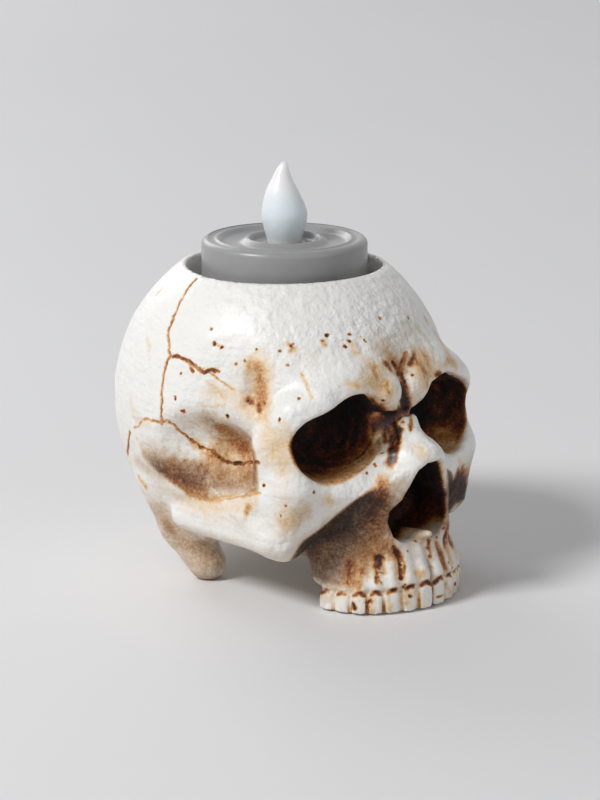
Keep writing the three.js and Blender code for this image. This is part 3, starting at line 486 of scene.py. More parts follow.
def refine(field, points, triangles, wanted):
    """Splits each edge that is longer than wanted at its middle, once."""
    sides = [triangles[:, [k, (k + 1) % 3]] for k in range(3)]
    edges = np.sort(np.concatenate(sides), -1)
    edges, back = np.unique(edges, axis=0, return_inverse=True)
    back = back.reshape(3, -1).T
    middle = (points[edges[:, 0]] + points[edges[:, 1]]) / 2
    split = np.linalg.norm(points[edges[:, 0]] - points[edges[:, 1]], axis=-1) > wanted(middle)
    number = np.full(len(edges), -1)
    number[split] = len(points) + np.arange(split.sum())
    points = np.concatenate([points, settle(field, middle[split], 0.4)])
    cut = number[back]
    many = (cut >= 0).sum(-1)
    result = [triangles[many == 0]]
    for k in range(3):
        a, b, c = (triangles[:, (k + n) % 3] for n in range(3))
        ab, bc, ca = (cut[:, (k + n) % 3] for n in range(3))
        one = (many == 1) & (ab >= 0)
        result += [np.stack(t, -1)[one] for t in ((a, ab, c), (ab, b, c))]
        two = (many == 2) & (ca < 0)
        result += [np.stack(t, -1)[two] for t in ((ab, b, bc), (a, ab, bc), (a, bc, c))]
    a, b, c = triangles[many == 3].T
    ab, bc, ca = cut[many == 3].T
    result += [np.stack(t, -1) for t in ((a, ab, ca), (ab, b, bc), (ca, bc, c), (ab, bc, ca))]
    return points, np.concatenate(result)


def placed(name, data):
    """An object of the scene that shows a mesh, a lamp or the camera."""
    thing = bpy.data.objects.new(name, data)
    bpy.context.scene.collection.objects.link(thing)
    return thing


def mesh_object(name, points, faces):
    mesh = bpy.data.meshes.new(name)
    mesh.from_pydata([tuple(p) for p in points], [], [tuple(f) for f in faces])
    mesh.validate()
    return placed(name, mesh)


def attach(thing, name, values):
    """A value for each point of a mesh, for its material to read."""
    made = thing.data.attributes.new(name, "FLOAT", "POINT")
    made.data.foreach_set("value", values.astype(np.float32))


def dress(thing, material, body, slot, node):
    """Gives a piece its material, unless it has one, and its body, and hides the CAD node that it
    replaces. slot is not used.
    """
    if material:
        thing.data.materials.append(material)
    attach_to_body(thing, body)
    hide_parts(node)


# Shader tools: an expression on values adds its Math nodes
class Value:
    """A shader socket whose sums and products are Math nodes."""

    def __init__(self, nodes, socket):
        self.nodes, self.socket = nodes, socket

    def math(self, operation, first, second):
        return self.nodes.node("ShaderNodeMath", {"operation": operation}, [first, second])

    def __add__(self, other):
        return self.math("ADD", self, other)

    def __radd__(self, other):
        return self.math("ADD", other, self)

    def __sub__(self, other):
        return self.math("SUBTRACT", self, other)

    def __rsub__(self, other):
        return self.math("SUBTRACT", other, self)

    def __mul__(self, other):
        return self.math("MULTIPLY", self, other)

    def __rmul__(self, other):
        return self.math("MULTIPLY", other, self)

    def most(self, other):
        return self.math("MAXIMUM", self, other)

    def least(self, other):
        return self.math("MINIMUM", self, other)

    def step(self, low, high):
        """0 below low, 1 above high, and smooth between."""
        return self.nodes.node("ShaderNodeMapRange", {"interpolation_type": "SMOOTHSTEP"},
                               {"Value": self, "From Min": low, "From Max": high})


class Nodes:
    """A tree of shader nodes: node() adds any node to it."""

    def __init__(self, tree):
        self.tree = tree

    def node(self, kind, settings, inputs, output=0):
        """An output of a new node with these settings, and values or links for its inputs."""
        made = self.tree.nodes.new(kind)
        for key, value in settings.items():
            if key == "stops":
                ramp = made.color_ramp
                while len(ramp.elements) < len(value):
                    ramp.elements.new(0.5)
                for element, (at, colour) in zip(ramp.elements, value):
                    element.position, element.color = at, (*colour, 1)
            else:
                setattr(made, key, value)
        for key, value in inputs.items() if isinstance(inputs, dict) else enumerate(inputs):
            if isinstance(value, Value):
                self.tree.links.new(value.socket, made.inputs[key])
            elif isinstance(value, tuple) and len(made.inputs[key].default_value) == 4:
                made.inputs[key].default_value = (*value, 1)
            else:
                made.inputs[key].default_value = value
        return Value(self, made.outputs[output])

    def mix(self, share, first, second):
        return self.node("ShaderNodeMix", {"data_type": "RGBA"}, {0: share, 6: first, 7: second}, 2)


class Paint(Nodes):
    """A procedural material on Object coordinates, with a method for each node that repeats."""

    def __init__(self, name, **constants):
        self.material = bpy.data.materials.new(name)
        self.material.use_nodes = True
        super().__init__(self.material.node_tree)
        self.shader = self.tree.nodes["Principled BSDF"]
        for key, value in constants.items():
            self.shader.inputs[self.label(key)].default_value = value
        self.place = self.node("ShaderNodeTexCoord", {}, {}, "Object")

    def label(self, key):
        """The shader's own name of a socket."""
        return key.replace("_", " ").title().replace("Ior", "IOR")

    def attribute(self, name):
        return self.node("ShaderNodeAttribute", {"attribute_name": name}, {}, "Fac")

    def noise(self, size, detail=2, roughness=0.5, place=None):
        """Noise with features about size across, in metres."""
        return self.node("ShaderNodeTexNoise", {}, {
            "Vector": place or self.place, "Scale": 1 / size, "Detail": detail, "Roughness": roughness})

    def cells(self, size, settings=None):
        """Distance to the middle of cells about size across, or what the settings ask."""
        return self.node("ShaderNodeTexVoronoi", settings or {},
                         {"Vector": self.place, "Scale": 1 / size}, "Distance")

    def stretched(self, scale, turn):
        inputs = {"Vector": self.place, "Scale": scale, "Rotation": turn}
        return self.node("ShaderNodeMapping", {}, inputs)

    def ramp(self, value, stops):
        return self.node("ShaderNodeValToRGB", {"stops": stops}, [value])

    def tint(self, under, over):
        """A colour seen through another."""
        return self.node("ShaderNodeMix", {"data_type": "RGBA", "blend_type": "MULTIPLY"},
                         {0: 1.0, 6: under, 7: over}, 2)

    def bump(self, height, distance, normal=None):
        inputs = {"Height": height, "Distance": distance, "Strength": 1}
        if normal:
            inputs["Normal"] = normal
        return self.node("ShaderNodeBump", {}, inputs)

    def set(self, **sockets):
        for key, value in sockets.items():
            self.tree.links.new(value.socket, self.shader.inputs[self.label(key)])
        return self.material


def linear(red, green, blue):
    """A colour given as a screen shows it, from 0 to 255."""
    shares = [v / 255 for v in (red, green, blue)]
    return tuple(v / 12.92 if v < 0.0405 else ((v + 0.055) / 1.055) ** 2.4 for v in shares)


BONE = linear(245, 244, 240)
CREAM = linear(239, 226, 204)
# what the wash and the stain let through, from thin to thick; their dark ends also serve as painted
# shade
WASH_AND_SHADE_STOPS = [
    (0.02, linear(255, 255, 255)),
    (0.28, linear(223, 207, 190)),
    (0.52, linear(181, 152, 126)),
    (0.78, linear(116, 88, 67)),
    (1.0, linear(46, 34, 27)),
]
STAIN_AND_SHADE_STOPS = [
    (0.02, linear(255, 255, 255)),
    (0.2, linear(243, 211, 166)),
    (0.42, linear(203, 137, 72)),
    (0.62, linear(134, 72, 37)),
    (0.80, linear(68, 31, 18)),
    (0.97, linear(15, 9, 7)),
]


def relief(p, grain, mottle, gloss):
    """Hammered resin with brushed and carved strokes, pebbles, grain and runs of lacquer."""
    brushed = p.noise(0.0011, 2, 0.5, p.stretched((1, 1, 0.22), (0.5, 0.2, 0)))
    carved = p.noise(0.0016, 2, 0.5, p.stretched((0.18, 0.25, 1.3), (0.15, -0.1, 0)))
    pebbles = (p.noise(0.0014, 2, 0.4) - p.cells(0.0017) * 0.5) * p.attribute("pebble")
    normal = p.bump(p.noise(0.0028, 2, 0.5), 0.0007)
    for height, distance in ((brushed, 0.00014), (carved, 0.00026), (pebbles, 0.00045),
                             (grain, 0.0001), (mottle * gloss.most(0), 0.0012)):
        normal = p.bump(height, distance, normal)
    return normal


def resin():
    """Off-white cast resin, with a brown wash and stains in its hollows under a satin lacquer, and
    painted shade in its sockets, broad hollows and under overhangs.
    """
    p = Paint("skull_resin", coat_roughness=0.3, specular_ior_level=0.4)
    grain = p.noise(0.00065, 3, 0.7)
    mottle = p.noise(0.0021, 3, 0.6)
    cloud = p.noise(0.010, 3)
    speck = (grain - 0.5) * 1.6 + (mottle - 0.5) * 0.8
    wash = p.attribute("wash")
    wash = wash + speck * (wash * 2.0).least(1) * 0.4
    stain = p.attribute("stain")
    stain = stain + speck * (stain * 2.5).least(1) * 0.45
    # cream tone: painted shade in broad hollows, with random clouds and mottling
    cream_tone_and_shade = p.attribute("hollow") * 0.8 + (cloud - 0.5) * 0.9 + (mottle - 0.5) * 0.5
    colour = p.mix(cream_tone_and_shade.step(0.1, 0.9) * 0.45, BONE, CREAM)
    colour = p.tint(colour, p.ramp(wash, WASH_AND_SHADE_STOPS))
    colour = p.tint(colour, p.ramp(stain, STAIN_AND_SHADE_STOPS))
    gloss = p.attribute("gloss")
    normal = relief(p, grain, mottle, gloss)
    rough = 0.46 + wash * 0.12 + stain * 0.1 + (cloud - 0.5) * 0.2 - gloss * 0.4
    rough = rough.most(0.25).least(0.92)
    coat = ((0.42 - wash * 0.3 - stain * 0.36).most(0.05) + gloss * 0.9).most(0)
    return p.set(base_color=colour, normal=normal, roughness=rough, coat_weight=coat)


# Marks on the skull are drawn over the photograph, in its pixels, and laid onto the surface.
# Cracks: half width in sculpt units, how dark it is painted, and a path
CRACKS = {
    "main_crack": (0.27, 0.54, [(196.7, 279), (190, 285), (186.3, 291), (183.3, 297), (179, 304),
        (177.6, 310), (173.4, 317), (171.2, 323), (168.4, 330), (168, 337), (169.3, 343),
        (168.7, 350), (170.6, 356), (167, 361), (166, 366), (163.6, 375), (162.4, 384),
        (161.7, 393), (162.2, 402), (161.3, 410), (161.7, 424)]),
    "branch": (0.33, 0.72, [(172.5, 357), (177, 356.4), (181.4, 357.5), (185, 359.3), (189, 361),
        (193, 365), (196.7, 367.6), (201, 371), (204.4, 373), (208, 371), (212, 369.5),
        (218.4, 371.8)]),
    "branch_hook": (0.25, 0.6, [(190, 363), (190.5, 368), (193, 371)]),
    "branch_tail": (0.13, 0.36, [(208, 372), (216, 377.5), (224.8, 384), (233.7, 390.5)]),
    "seam_back": (0.32, 0.56, [(127.4, 453.6), (128.5, 442), (130, 432)]),
    "seam_start": (0.16, 0.36, [(134, 427.5), (138, 426), (142, 421)]),
    "seam": (0.2, 0.48, [(143, 420), (148, 418.6), (154.2, 421.4), (162.2, 422.5), (167, 420),
        (174.3, 425.4), (180, 431), (185, 434.5), (190, 439)]),
    "seam_middle": (0.32, 0.62, [(190, 439), (195.7, 443), (203, 448.4), (210, 450), (214, 452),
        (219, 457.5)]),
    "seam_front": (0.3, 0.72, [(219, 457.5), (225, 461), (231, 463.6), (238, 463), (243.9, 464),
        (250, 462), (258.7, 462.4)]),
    "ledge_line": (0.16, 0.42, [(188, 495), (197, 498), (207, 501), (217, 500.5), (228, 498.5),
        (240, 496.5), (252, 495), (261, 493.5)]),
    # the two brow lines make the dark V between the brow bumps: stain, and partly painted shade in
    # their groove
    "brow_line": (0.3, 0.8, [(392.5, 362), (397, 368.5), (402, 376), (404.5, 384)]),
    "brow_line_far": (0.25, 0.6, [(407, 352), (404.5, 360), (401, 370), (402, 376)]),
    "canine_groove": (0.36, 0.72, [(380, 556.5), (377, 559), (376.5, 566), (377.5, 573),
        (377, 582)]),
    "canine_side": (0.24, 0.3, [(382.5, 558), (383.5, 565), (385.5, 574)]),
    "incisor_groove": (0.4, 0.74, [(393, 547), (397, 553), (399, 559), (399.5, 566), (401, 578)]),
    "incisor_side": (0.26, 0.44, [(404, 561), (404.5, 570), (403, 577)]),
    "cheek_groove": (0.26, 0.4, [(349.5, 562), (350, 572), (349.5, 584)]),
    "far_groove": (0.3, 0.6, [(428.5, 540), (429, 547), (430.5, 556)]),
    "far_side": (0.34, 0.5, [(436.5, 546), (440, 555), (443.5, 564)]),
}
# Pits: place and half width
PITS = [(327.5, 334.3, 0.45), (350, 335.5, 0.3), (348, 340.5, 0.34), (345.5, 346, 0.26),
        (365, 341, 0.28), (407.8, 317.5, 0.3), (380.7, 318.4, 0.2), (291, 345, 0.34),
        (211, 329, 0.24), (215, 344, 0.3), (222, 347, 0.24), (182.9, 410.7, 0.38),
        (228, 415.7, 0.4), (279, 419.3, 0.3), (175, 397.6, 0.28), (299.3, 398.6, 0.2),
        (383, 400.6, 0.3), (441, 404, 0.2), (181, 373.6, 0.2), (235.7, 364.3, 0.26),
        (244, 361.4, 0.28), (256.7, 349, 0.18), (323.8, 341.3, 0.3), (248.6, 400.7, 0.38),
        (259.4, 408.6, 0.38), (264, 404, 0.3), (287, 365.7, 0.25), (374.5, 464.3, 0.3),
        (367, 472.5, 0.2), (383, 452.5, 0.25), (412.5, 375.6, 0.25), (410.6, 596, 0.46),
        (367.5, 602.5, 0.3), (313.8, 492, 0.25), (286, 506, 0.15), (281, 516, 0.15),
        (448.8, 562, 0.25), (452.5, 567.5, 0.25), (353, 604.5, 0.35), (279, 351.4, 0.28),
        (404.5, 586, 0.4), (443, 527.5, 0.4), (263.5, 485.5, 0.3), (416, 540, 0.35),
        (407.8, 551.3, 0.2)]
# Lines that strokes end at: the strokes lie on the right hand of someone going along the line
EDGES = {
    "cheek": [(270, 590), (284, 572), (290, 560), (302.5, 541), (315, 532.5), (331, 520),
        (346, 507), (355, 500), (367.5, 491.5), (377.5, 488.5), (392, 480)],
    "frame": [(214, 396), (229, 410), (245, 427), (252.5, 438), (256, 452), (257.5, 466),
        (258.5, 484), (260, 500), (258, 520)],
    "ledge": [(270, 487), (258, 491), (246, 494), (230, 497), (208, 500), (188, 494), (170, 482),
        (148, 464), (126, 440)],
    "socket": [(400, 413), (386, 425), (381, 438), (381, 448), (374, 460), (362.5, 470), (350, 479),
        (339, 485)],
}
# Strokes: kind, strength, radius in sculpt units, a path, and the lines that it ends at
STROKES = [
    # temporal fossa: its front pocket, its floor and the ledge under it; its washes are partly brown
    # stain and partly painted shade of the hollow
    ("wash", 0.34, 3.4, [(214, 424), (230, 431), (244, 441), (252, 452)], "frame"),
    ("stain", 0.34, 2.6, [(224, 430), (237, 438), (248, 450)], "frame"),
    ("stain", 0.26, 2.4, [(218, 446), (232, 450), (244, 455), (254, 458)], "frame"),
    ("wash", 0.5, 3.4, [(164, 470), (178, 476), (196, 478)], "ledge"),
    ("wash", 0.5, 4.6, [(156, 464), (178, 474), (206, 481), (235, 482), (256, 478)], "frame", "ledge"),
    ("stain", 0.2, 3.2, [(208, 468), (224, 474), (240, 475), (256, 472)], "frame", "ledge"),
    ("stain", 0.3, 3.0, [(170, 472), (182, 482), (196, 486)], "ledge"),
    ("stain", 0.26, 0.8, [(187, 493), (200, 498), (212, 499), (231, 496), (248, 493),
                          (260, 490)], "frame"),
    ("stain", 0.08, 1.8, [(180, 501), (196, 506), (212, 509), (236, 506), (258, 502)], "frame"),
    ("stain", 0.05, 4.5, [(160, 484), (188, 501), (220, 508), (250, 506)], "frame"),
    ("stain", 0.26, 1.5, [(196, 444), (206, 450), (220, 460)]),
    ("stain", 0.34, 0.8, [(246, 512), (249, 508)]),
    ("wash", 0.19, 1.8, [(136, 461), (150, 468), (160, 474)]),
    ("stain", 0.34, 0.6, [(132, 470), (138, 477), (146, 486)]),
    # temple hollow
    ("stain", 0.23, 3.4, [(257, 365), (260, 376), (262, 392), (261, 404)]),
    ("stain", 0.2, 1.6, [(257, 366), (262, 384), (262, 402)]),
    ("wash", 0.12, 3.2, [(245, 368), (250, 380), (254, 394)]),
    ("stain", 0.12, 3.0, [(214, 392), (228, 396), (242, 404)]),
    ("stain", 0.52, 0.6, [(248, 400), (251, 403)]),
    ("stain", 0.52, 0.6, [(258, 406), (260, 412)]),
    ("stain", 0.14, 3.0, [(266, 420), (268, 440), (272, 456)]),
    ("stain", 0.12, 2.6, [(284, 432), (284, 450), (286, 468)]),
    # forehead and brows
    ("wash", 0.16, 3.2, [(382, 342), (395, 345), (404, 336), (409, 326)]),
    ("wash", 0.28, 2.4, [(385, 350), (392, 356), (398, 364)]),
    ("stain", 0.29, 1.5, [(389, 355), (395, 364), (400, 372)]),
    ("stain", 0.7, 0.6, [(384.4, 362.5), (387, 365), (390, 369)]),
    ("stain", 0.6, 0.7, [(405, 354), (402, 361), (400, 368), (398, 374)]),
    ("stain", 0.26, 0.8, [(397.5, 375), (400, 381), (402, 388)]),
    ("stain", 0.34, 0.9, [(402.5, 384), (405, 390), (408, 398)]),
    # painted shade in the groove between the brow bumps
    ("stain", 1.0, 1.0, [(402.5, 389), (403.5, 396), (404, 403)]),
    ("stain", 0.18, 3.8, [(374, 372), (382, 384), (386, 396)]),
    ("stain", 0.26, 0.6, [(375, 366), (373.8, 370), (377, 379)]),
    ("stain", 0.26, 0.5, [(385, 379), (388, 385)]),
    ("stain", 0.26, 0.5, [(386, 390), (390, 392.5)]),
    ("stain", 0.12, 1.8, [(350, 384), (360, 386), (370, 383), (378, 386)]),
    ("stain", 0.2, 0.6, [(351, 384.5), (358, 386)]),
    ("stain", 0.69, 1.1, [(372, 400), (377, 406), (382, 409.5)]),
    ("stain", 0.34, 0.7, [(418, 363), (422, 367), (425, 371)]),
    ("stain", 0.14, 2.4, [(416, 360), (424, 372)]),
    ("stain", 0.21, 1.4, [(436, 334), (446, 350), (456, 366)]),
    ("stain", 0.73, 0.6, [(437, 374.5), (440, 374)]),
    ("stain", 0.73, 0.6, [(447, 375), (452, 375.5)]),
    ("stain", 0.29, 0.35, [(301.5, 373), (307, 386), (312, 398.6)]),
    ("stain", 0.34, 0.7, [(289, 344), (293, 348), (290, 351)]),
    ("stain", 0.34, 0.6, [(322, 341), (325, 345)]),
    ("stain", 0.05, 3.0, [(300, 352), (316, 358)]),
    ("stain", 0.3, 0.5, [(214, 343), (222, 347)]),
    ("stain", 0.17, 1.0, [(353, 345), (354, 352)]),
    # root of the nose; its first stroke is a painted shadow under the brow bumps
    ("stain", 0.98, 1.4, [(376, 409), (386, 413), (396, 413), (405, 409)]),
    ("stain", 0.62, 1.7, [(366, 414), (375, 420), (384, 422)]),
    ("stain", 0.5, 1.7, [(372, 428), (379, 427), (387, 422)]),
    ("stain", 0.8, 1.0, [(390, 421), (395, 427), (398, 432)]),
    ("stain", 0.9, 0.9, [(389, 430), (391.5, 440), (391.5, 452), (390.5, 462)]),
    ("stain", 0.75, 0.6, [(398.5, 430), (398, 440), (396.5, 452), (394, 460)]),
    ("stain", 0.34, 1.3, [(397, 430), (395, 450), (392, 464)]),
    ("stain", 0.73, 0.7, [(384, 435), (385.5, 441)]),
    ("stain", 0.73, 0.55, [(399.5, 416), (402.5, 422)]),
    ("stain", 0.69, 0.5, [(409.5, 416), (411, 423), (410.5, 430)]),
    ("wash", 0.22, 1.3, [(391, 462), (388, 474), (384, 486)]),
    ("stain", 0.12, 1.6, [(417, 448), (426, 457)]),
    # floor and inner wall of the eye socket
    ("stain", 0.3, 2.2, [(336, 474), (348, 469), (360, 461), (370, 451), (377, 441)], "socket"),
    ("stain", 0.69, 0.5, [(334, 468), (350, 463), (361, 455), (371, 442), (375, 430)], "socket"),
    ("stain", 0.65, 0.5, [(350, 478), (362.5, 469.5), (374, 459.5), (380, 449),
                          (380.5, 440)], "socket"),
    # upper jaw: the washes and the broad stain under the cheek's edge are brown stain and painted shade
    # of its overhang
    ("wash", 0.9, 4.4, [(296, 557), (303, 547), (314, 537), (330, 525), (345, 513), (357, 505),
                        (366, 500)], "cheek"),
    ("wash", 0.55, 2.4, [(300, 556), (318, 540), (338, 524)], "cheek"),
    ("wash", 0.68, 8.5, [(312, 572), (322, 556), (340, 540), (358, 524), (374, 508)], "cheek"),
    ("wash", 0.34, 5.0, [(332, 578), (346, 562), (362, 544), (378, 530)], "cheek"),
    ("stain", 0.2, 4.4, [(316, 545), (334, 530), (352, 514), (366, 504)], "cheek"),
    ("stain", 0.34, 1.8, [(381, 484), (379, 496), (373, 510)]),
    ("stain", 0.16, 2.0, [(386, 484), (384, 498), (384, 512)]),
    ("stain", 0.26, 2.8, [(372, 520), (376, 534), (379, 546)]),
    ("stain", 0.2, 2.8, [(351, 562), (353, 580)]),
    ("stain", 0.26, 0.9, [(349, 562), (349.5, 584)]),
    ("stain", 0.26, 0.8, [(361, 572), (359.5, 588)]),
    ("stain", 0.17, 3.0, [(362, 548), (364, 566)]),
    ("stain", 0.6, 0.55, [(375.5, 558), (379, 556.5), (382.5, 558.5)]),
    ("stain", 0.72, 0.8, [(378.5, 558.5), (380, 563), (378.5, 567)]),
    ("stain", 0.5, 0.8, [(396, 553), (398.5, 561)]),
    ("stain", 0.3, 0.5, [(383, 560), (383.5, 566), (385, 573)]),
    ("stain", 0.22, 0.9, [(376.5, 562), (377.5, 571), (377, 581)]),
    ("stain", 0.6, 0.6, [(394, 547), (398, 554), (401.5, 559)]),
    ("stain", 0.26, 1.2, [(391.5, 551), (395, 561), (398, 572), (400, 577)]),
    ("stain", 0.34, 0.6, [(404, 562), (404, 570)]),
    ("stain", 0.34, 1.0, [(386, 545), (392, 543)]),
    ("stain", 0.77, 0.6, [(428.8, 541), (428, 547.5)]),
    ("wash", 0.28, 1.3, [(428, 541), (431, 552), (431, 561)]),
    ("stain", 0.44, 0.9, [(436, 545), (441, 557), (445, 568)]),
    ("wash", 0.28, 1.5, [(434, 540), (440, 556), (447, 572)]),
    ("stain", 0.24, 0.8, [(416, 572), (420, 577), (423, 573)]),
    ("stain", 0.24, 0.5, [(430, 566), (433, 567.5)]),
    # teeth
    ("stain", 0.1, 1.6, [(320, 597), (334, 598)]),
    ("stain", 0.07, 1.4, [(342, 597), (352, 598), (368, 598)]),
    ("stain", 0.92, 0.5, [(353, 604), (355, 608), (356.5, 615)]),
    ("stain", 0.77, 0.45, [(371, 601), (370, 614)]),
    ("stain", 0.18, 0.9, [(372, 600), (371.5, 613)]),
    ("stain", 0.18, 0.9, [(389, 596), (390, 610)]),
    ("stain", 0.2, 0.9, [(404, 594), (406, 612)]),
    ("stain", 0.1, 1.1, [(412, 590), (419, 592), (421, 606)]),
    ("stain", 0.69, 0.3, [(437, 597), (444, 595.5), (451, 599)]),
    ("stain", 0.2, 0.9, [(445, 584), (450, 592)]),
    # painted shade of the hollow under the far cheek
    ("wash", 0.8, 2.8, [(455, 480), (461, 481), (464, 486)]),
    ("wash", 0.8, 3.4, [(452, 487), (458, 489), (461, 494)]),
    ("wash", 0.7, 3.0, [(450, 496), (456, 500)]),
    ("stain", 0.4, 2.6, [(454, 481), (459, 480), (462, 484)]),
    # cheek
    ("wash", 0.1, 2.6, [(289, 528), (297, 520), (305, 513)]),
    ("stain", 0.11, 2.6, [(290, 520), (298, 516), (304, 510)]),
    ("stain", 0.19, 1.4, [(328, 497), (331, 503)]),
    ("stain", 0.06, 4.0, [(280, 492), (284, 510), (284, 524)]),
    ("stain", 0.03, 5.0, [(216, 526), (240, 532), (262, 540)]),
    # scratches and faint strokes on the side of the cranium
    ("stain", 0.16, 0.35, [(190, 421), (204, 430), (218.6, 440)]),
    ("stain", 0.14, 0.3, [(196, 404), (212, 407), (226, 404)]),
    ("stain", 0.16, 0.4, [(136, 437), (143, 452), (150, 462)]),
    ("stain", 0.14, 0.35, [(205, 380), (216, 388), (226, 400)]),
    ("stain", 0.12, 0.35, [(176, 445), (184, 455), (188, 466)]),
    ("stain", 0.14, 0.5, [(146, 335), (150, 346), (149, 358)]),
    ("stain", 0.1, 1.6, [(131, 404), (137, 418), (147, 424)]),
    ("stain", 0.3, 0.5, [(158, 293), (162, 288)]),
    # lobe behind the jaw
    ("wash", 0.31, 4.6, [(158, 516), (172, 532), (190, 550), (206, 564)]),
    ("stain", 0.08, 4.0, [(166, 520), (184, 540), (204, 560)]),
    ("wash", 0.34, 1.2, [(168, 524), (172, 530)]),
    ("wash", 0.31, 2.6, [(200, 548), (212, 552), (222, 560)]),
    # lacquer that ran together
    ("gloss", 0.9, 1.3, [(378, 438), (384, 432), (390, 428)]),
    ("gloss", 0.9, 1.0, [(391, 434), (392, 448), (391, 460)]),
    ("gloss", 0.6, 0.9, [(352, 476), (364, 467), (374, 456)]),
    # pebbly texture
    ("pebble", 0.55, 7.0, [(356, 322), (378, 318), (404, 318), (424, 330)]),
    ("pebble", 0.3, 6.0, [(300, 335), (330, 328), (360, 332), (392, 336)]),
    ("pebble", 0.7, 4.0, [(226, 436), (246, 452), (250, 470)]),
    ("pebble", 0.9, 7.0, [(320, 560), (344, 540), (366, 522)]),
    ("pebble", 0.6, 4.0, [(290, 545), (300, 535)]),
    ("pebble", 0.6, 2.0, [(262, 378), (264, 400)]),
]


def caster(points, triangles):
    """A function that lays pixels of the photograph onto a surface."""
    tree = BVHTree.FromPolygons(points.tolist(), triangles.tolist())
    right, up, back = camera_axes()
    eye = Vector(camera_place())

    def cast(pixel):
        u, v = pixel[0] - IMAGE_SIZE[0] / 2, IMAGE_SIZE[1] / 2 - pixel[1]
        way = Vector(right * u + up * v - back * FOCAL_PIXELS).normalized()
        hit = tree.ray_cast(eye, way)[0]
        return None if hit is None else np.array(hit)
    return cast


def pixels_of(p):
    """The photograph's pixels of sculpt points, each taken on the side that it shows."""
    right, up, back = camera_axes()
    way = p.copy()
    way[:, 0] = -np.abs(way[:, 0])
    way = way - camera_place()
    scale = -FOCAL_PIXELS / (way @ back)
    return np.stack([IMAGE_SIZE[0] / 2 + way @ right * scale, IMAGE_SIZE[1] / 2 - way @ up * scale], -1)


def within(pixels, line):
    """Distance in pixels to a line on the photograph, negative on its left hand."""
    line = np.array(line, float)
    best, side = np.full(len(pixels), 1e9), np.zeros(len(pixels))
    for a, b in zip(line[:-1], line[1:]):
        along, q = b - a, pixels - a
        t = np.clip((q @ along) / (along @ along), 0, 1)
        away = np.linalg.norm(q - t[:, None] * along, axis=-1)
        nearer = away < best - 1e-9
        best = np.where(nearer, away, best)
        side = np.where(nearer, np.sign(along[0] * q[:, 1] - along[1] * q[:, 0]), side)
    return best * side


# about how many pixels of the photograph make one sculpt unit, and the steps along a path
UNIT_PIXELS = 4.4
CRACK_STEP = 0.5
STROKE_STEP = 2.0


def laid_path(cast, pixels, step):
    """A path of pixels laid onto the surface, with points about step apart."""
    path = []
    for a, b in zip(pixels[:-1], pixels[1:]):
        a, b = np.array(a), np.array(b)
        count = max(int(np.linalg.norm(b - a) / UNIT_PIXELS / step), 1)
        path += [cast(a + (b - a) * n / count) for n in range(count)]
    path.append(cast(pixels[-1]))
    return np.array([p for p in path if p is not None])


# a distance that is further than any mark reaches
FAR = 5.0


def path_distance(p, path, radii, reach=FAR):
    """Distance to a tube along a path, and reach where it is further than that."""
    margin = reach + max(radii)
    near = ((p > path.min(0) - margin) & (p < path.max(0) + margin)).all(-1)
    q = p[near]
    best = np.full(len(q), reach)
    if len(path) == 1:
        best = np.minimum(best, np.linalg.norm(q - path[0], axis=-1) - radii[0])
    for a, b, ra, rb in zip(path[:-1], path[1:], radii[:-1], radii[1:]):
        along = b - a
        t = np.clip(((q - a) @ along) / max(along @ along, 1e-6), 0, 1)
        away = np.sqrt(((q - a - t[:, None] * along) ** 2).sum(-1)) - (ra + (rb - ra) * t)
        best = np.minimum(best, away)
    d = np.full(len(p), reach)
    d[near] = best
    return d


# how uneven a crack's path and its half width are, and the mirrored one's wandering and shift
CRACK_JITTER = 0.09
CRACK_WIDTHS = (0.5, 1.35)
CRACK_WANDER = 0.12
CRACK_SHIFT = (0, 1.5, -1)
# cracks with a larger half width than the first have splinters: length, width and tone as
# shares of the crack's, and the half width at their ends
SPLINTER_FROM = 0.28
SPLINTER = {"length": 2.2, "width": 0.45, "tone": 0.8, "end": 0.05}
# small pits in a cluster: how many, how far apart and how wide as shares of the pit's half width
PIT_COUNT = 3
PIT_SPREAD = 0.55
PIT_WIDTHS = (0.3, 0.75)
FAR_PIT_SHIFT = 1.5
FAR_PIT_WIDTH = 0.8
# cracks and strokes that lie further than this from the middle are mirrored onto the far side
CRACK_OUT = 4
STROKE_OUT = 3
FAR_SIDE = (-1, 1, 1)
# how far a mirrored stroke is shifted, as a share of its radius, and the shares of its strength
STROKE_SHIFT = 0.25
STROKE_FAINTER = (0.8, 1.0)
# a stroke's strength fades out at this many of its radii, and nothing is worked out past its
# reach. Strokes of a larger radius than the ragged one have smoother edges.
STROKE_FADE = 1.6
STROKE_REACH = 1.7
RAGGED_RADIUS = 2.2
# how much and in how large waves a stroke's edge is ragged and drifts, and the pixels over which
# it ends at a line
RAGGED = (0.3, 0.9)
DRIFT = (0.35, 2.4)
FINE_DRIFT = (0.2, 1.2)
LINE_FADE = (-1.5, 2.5)


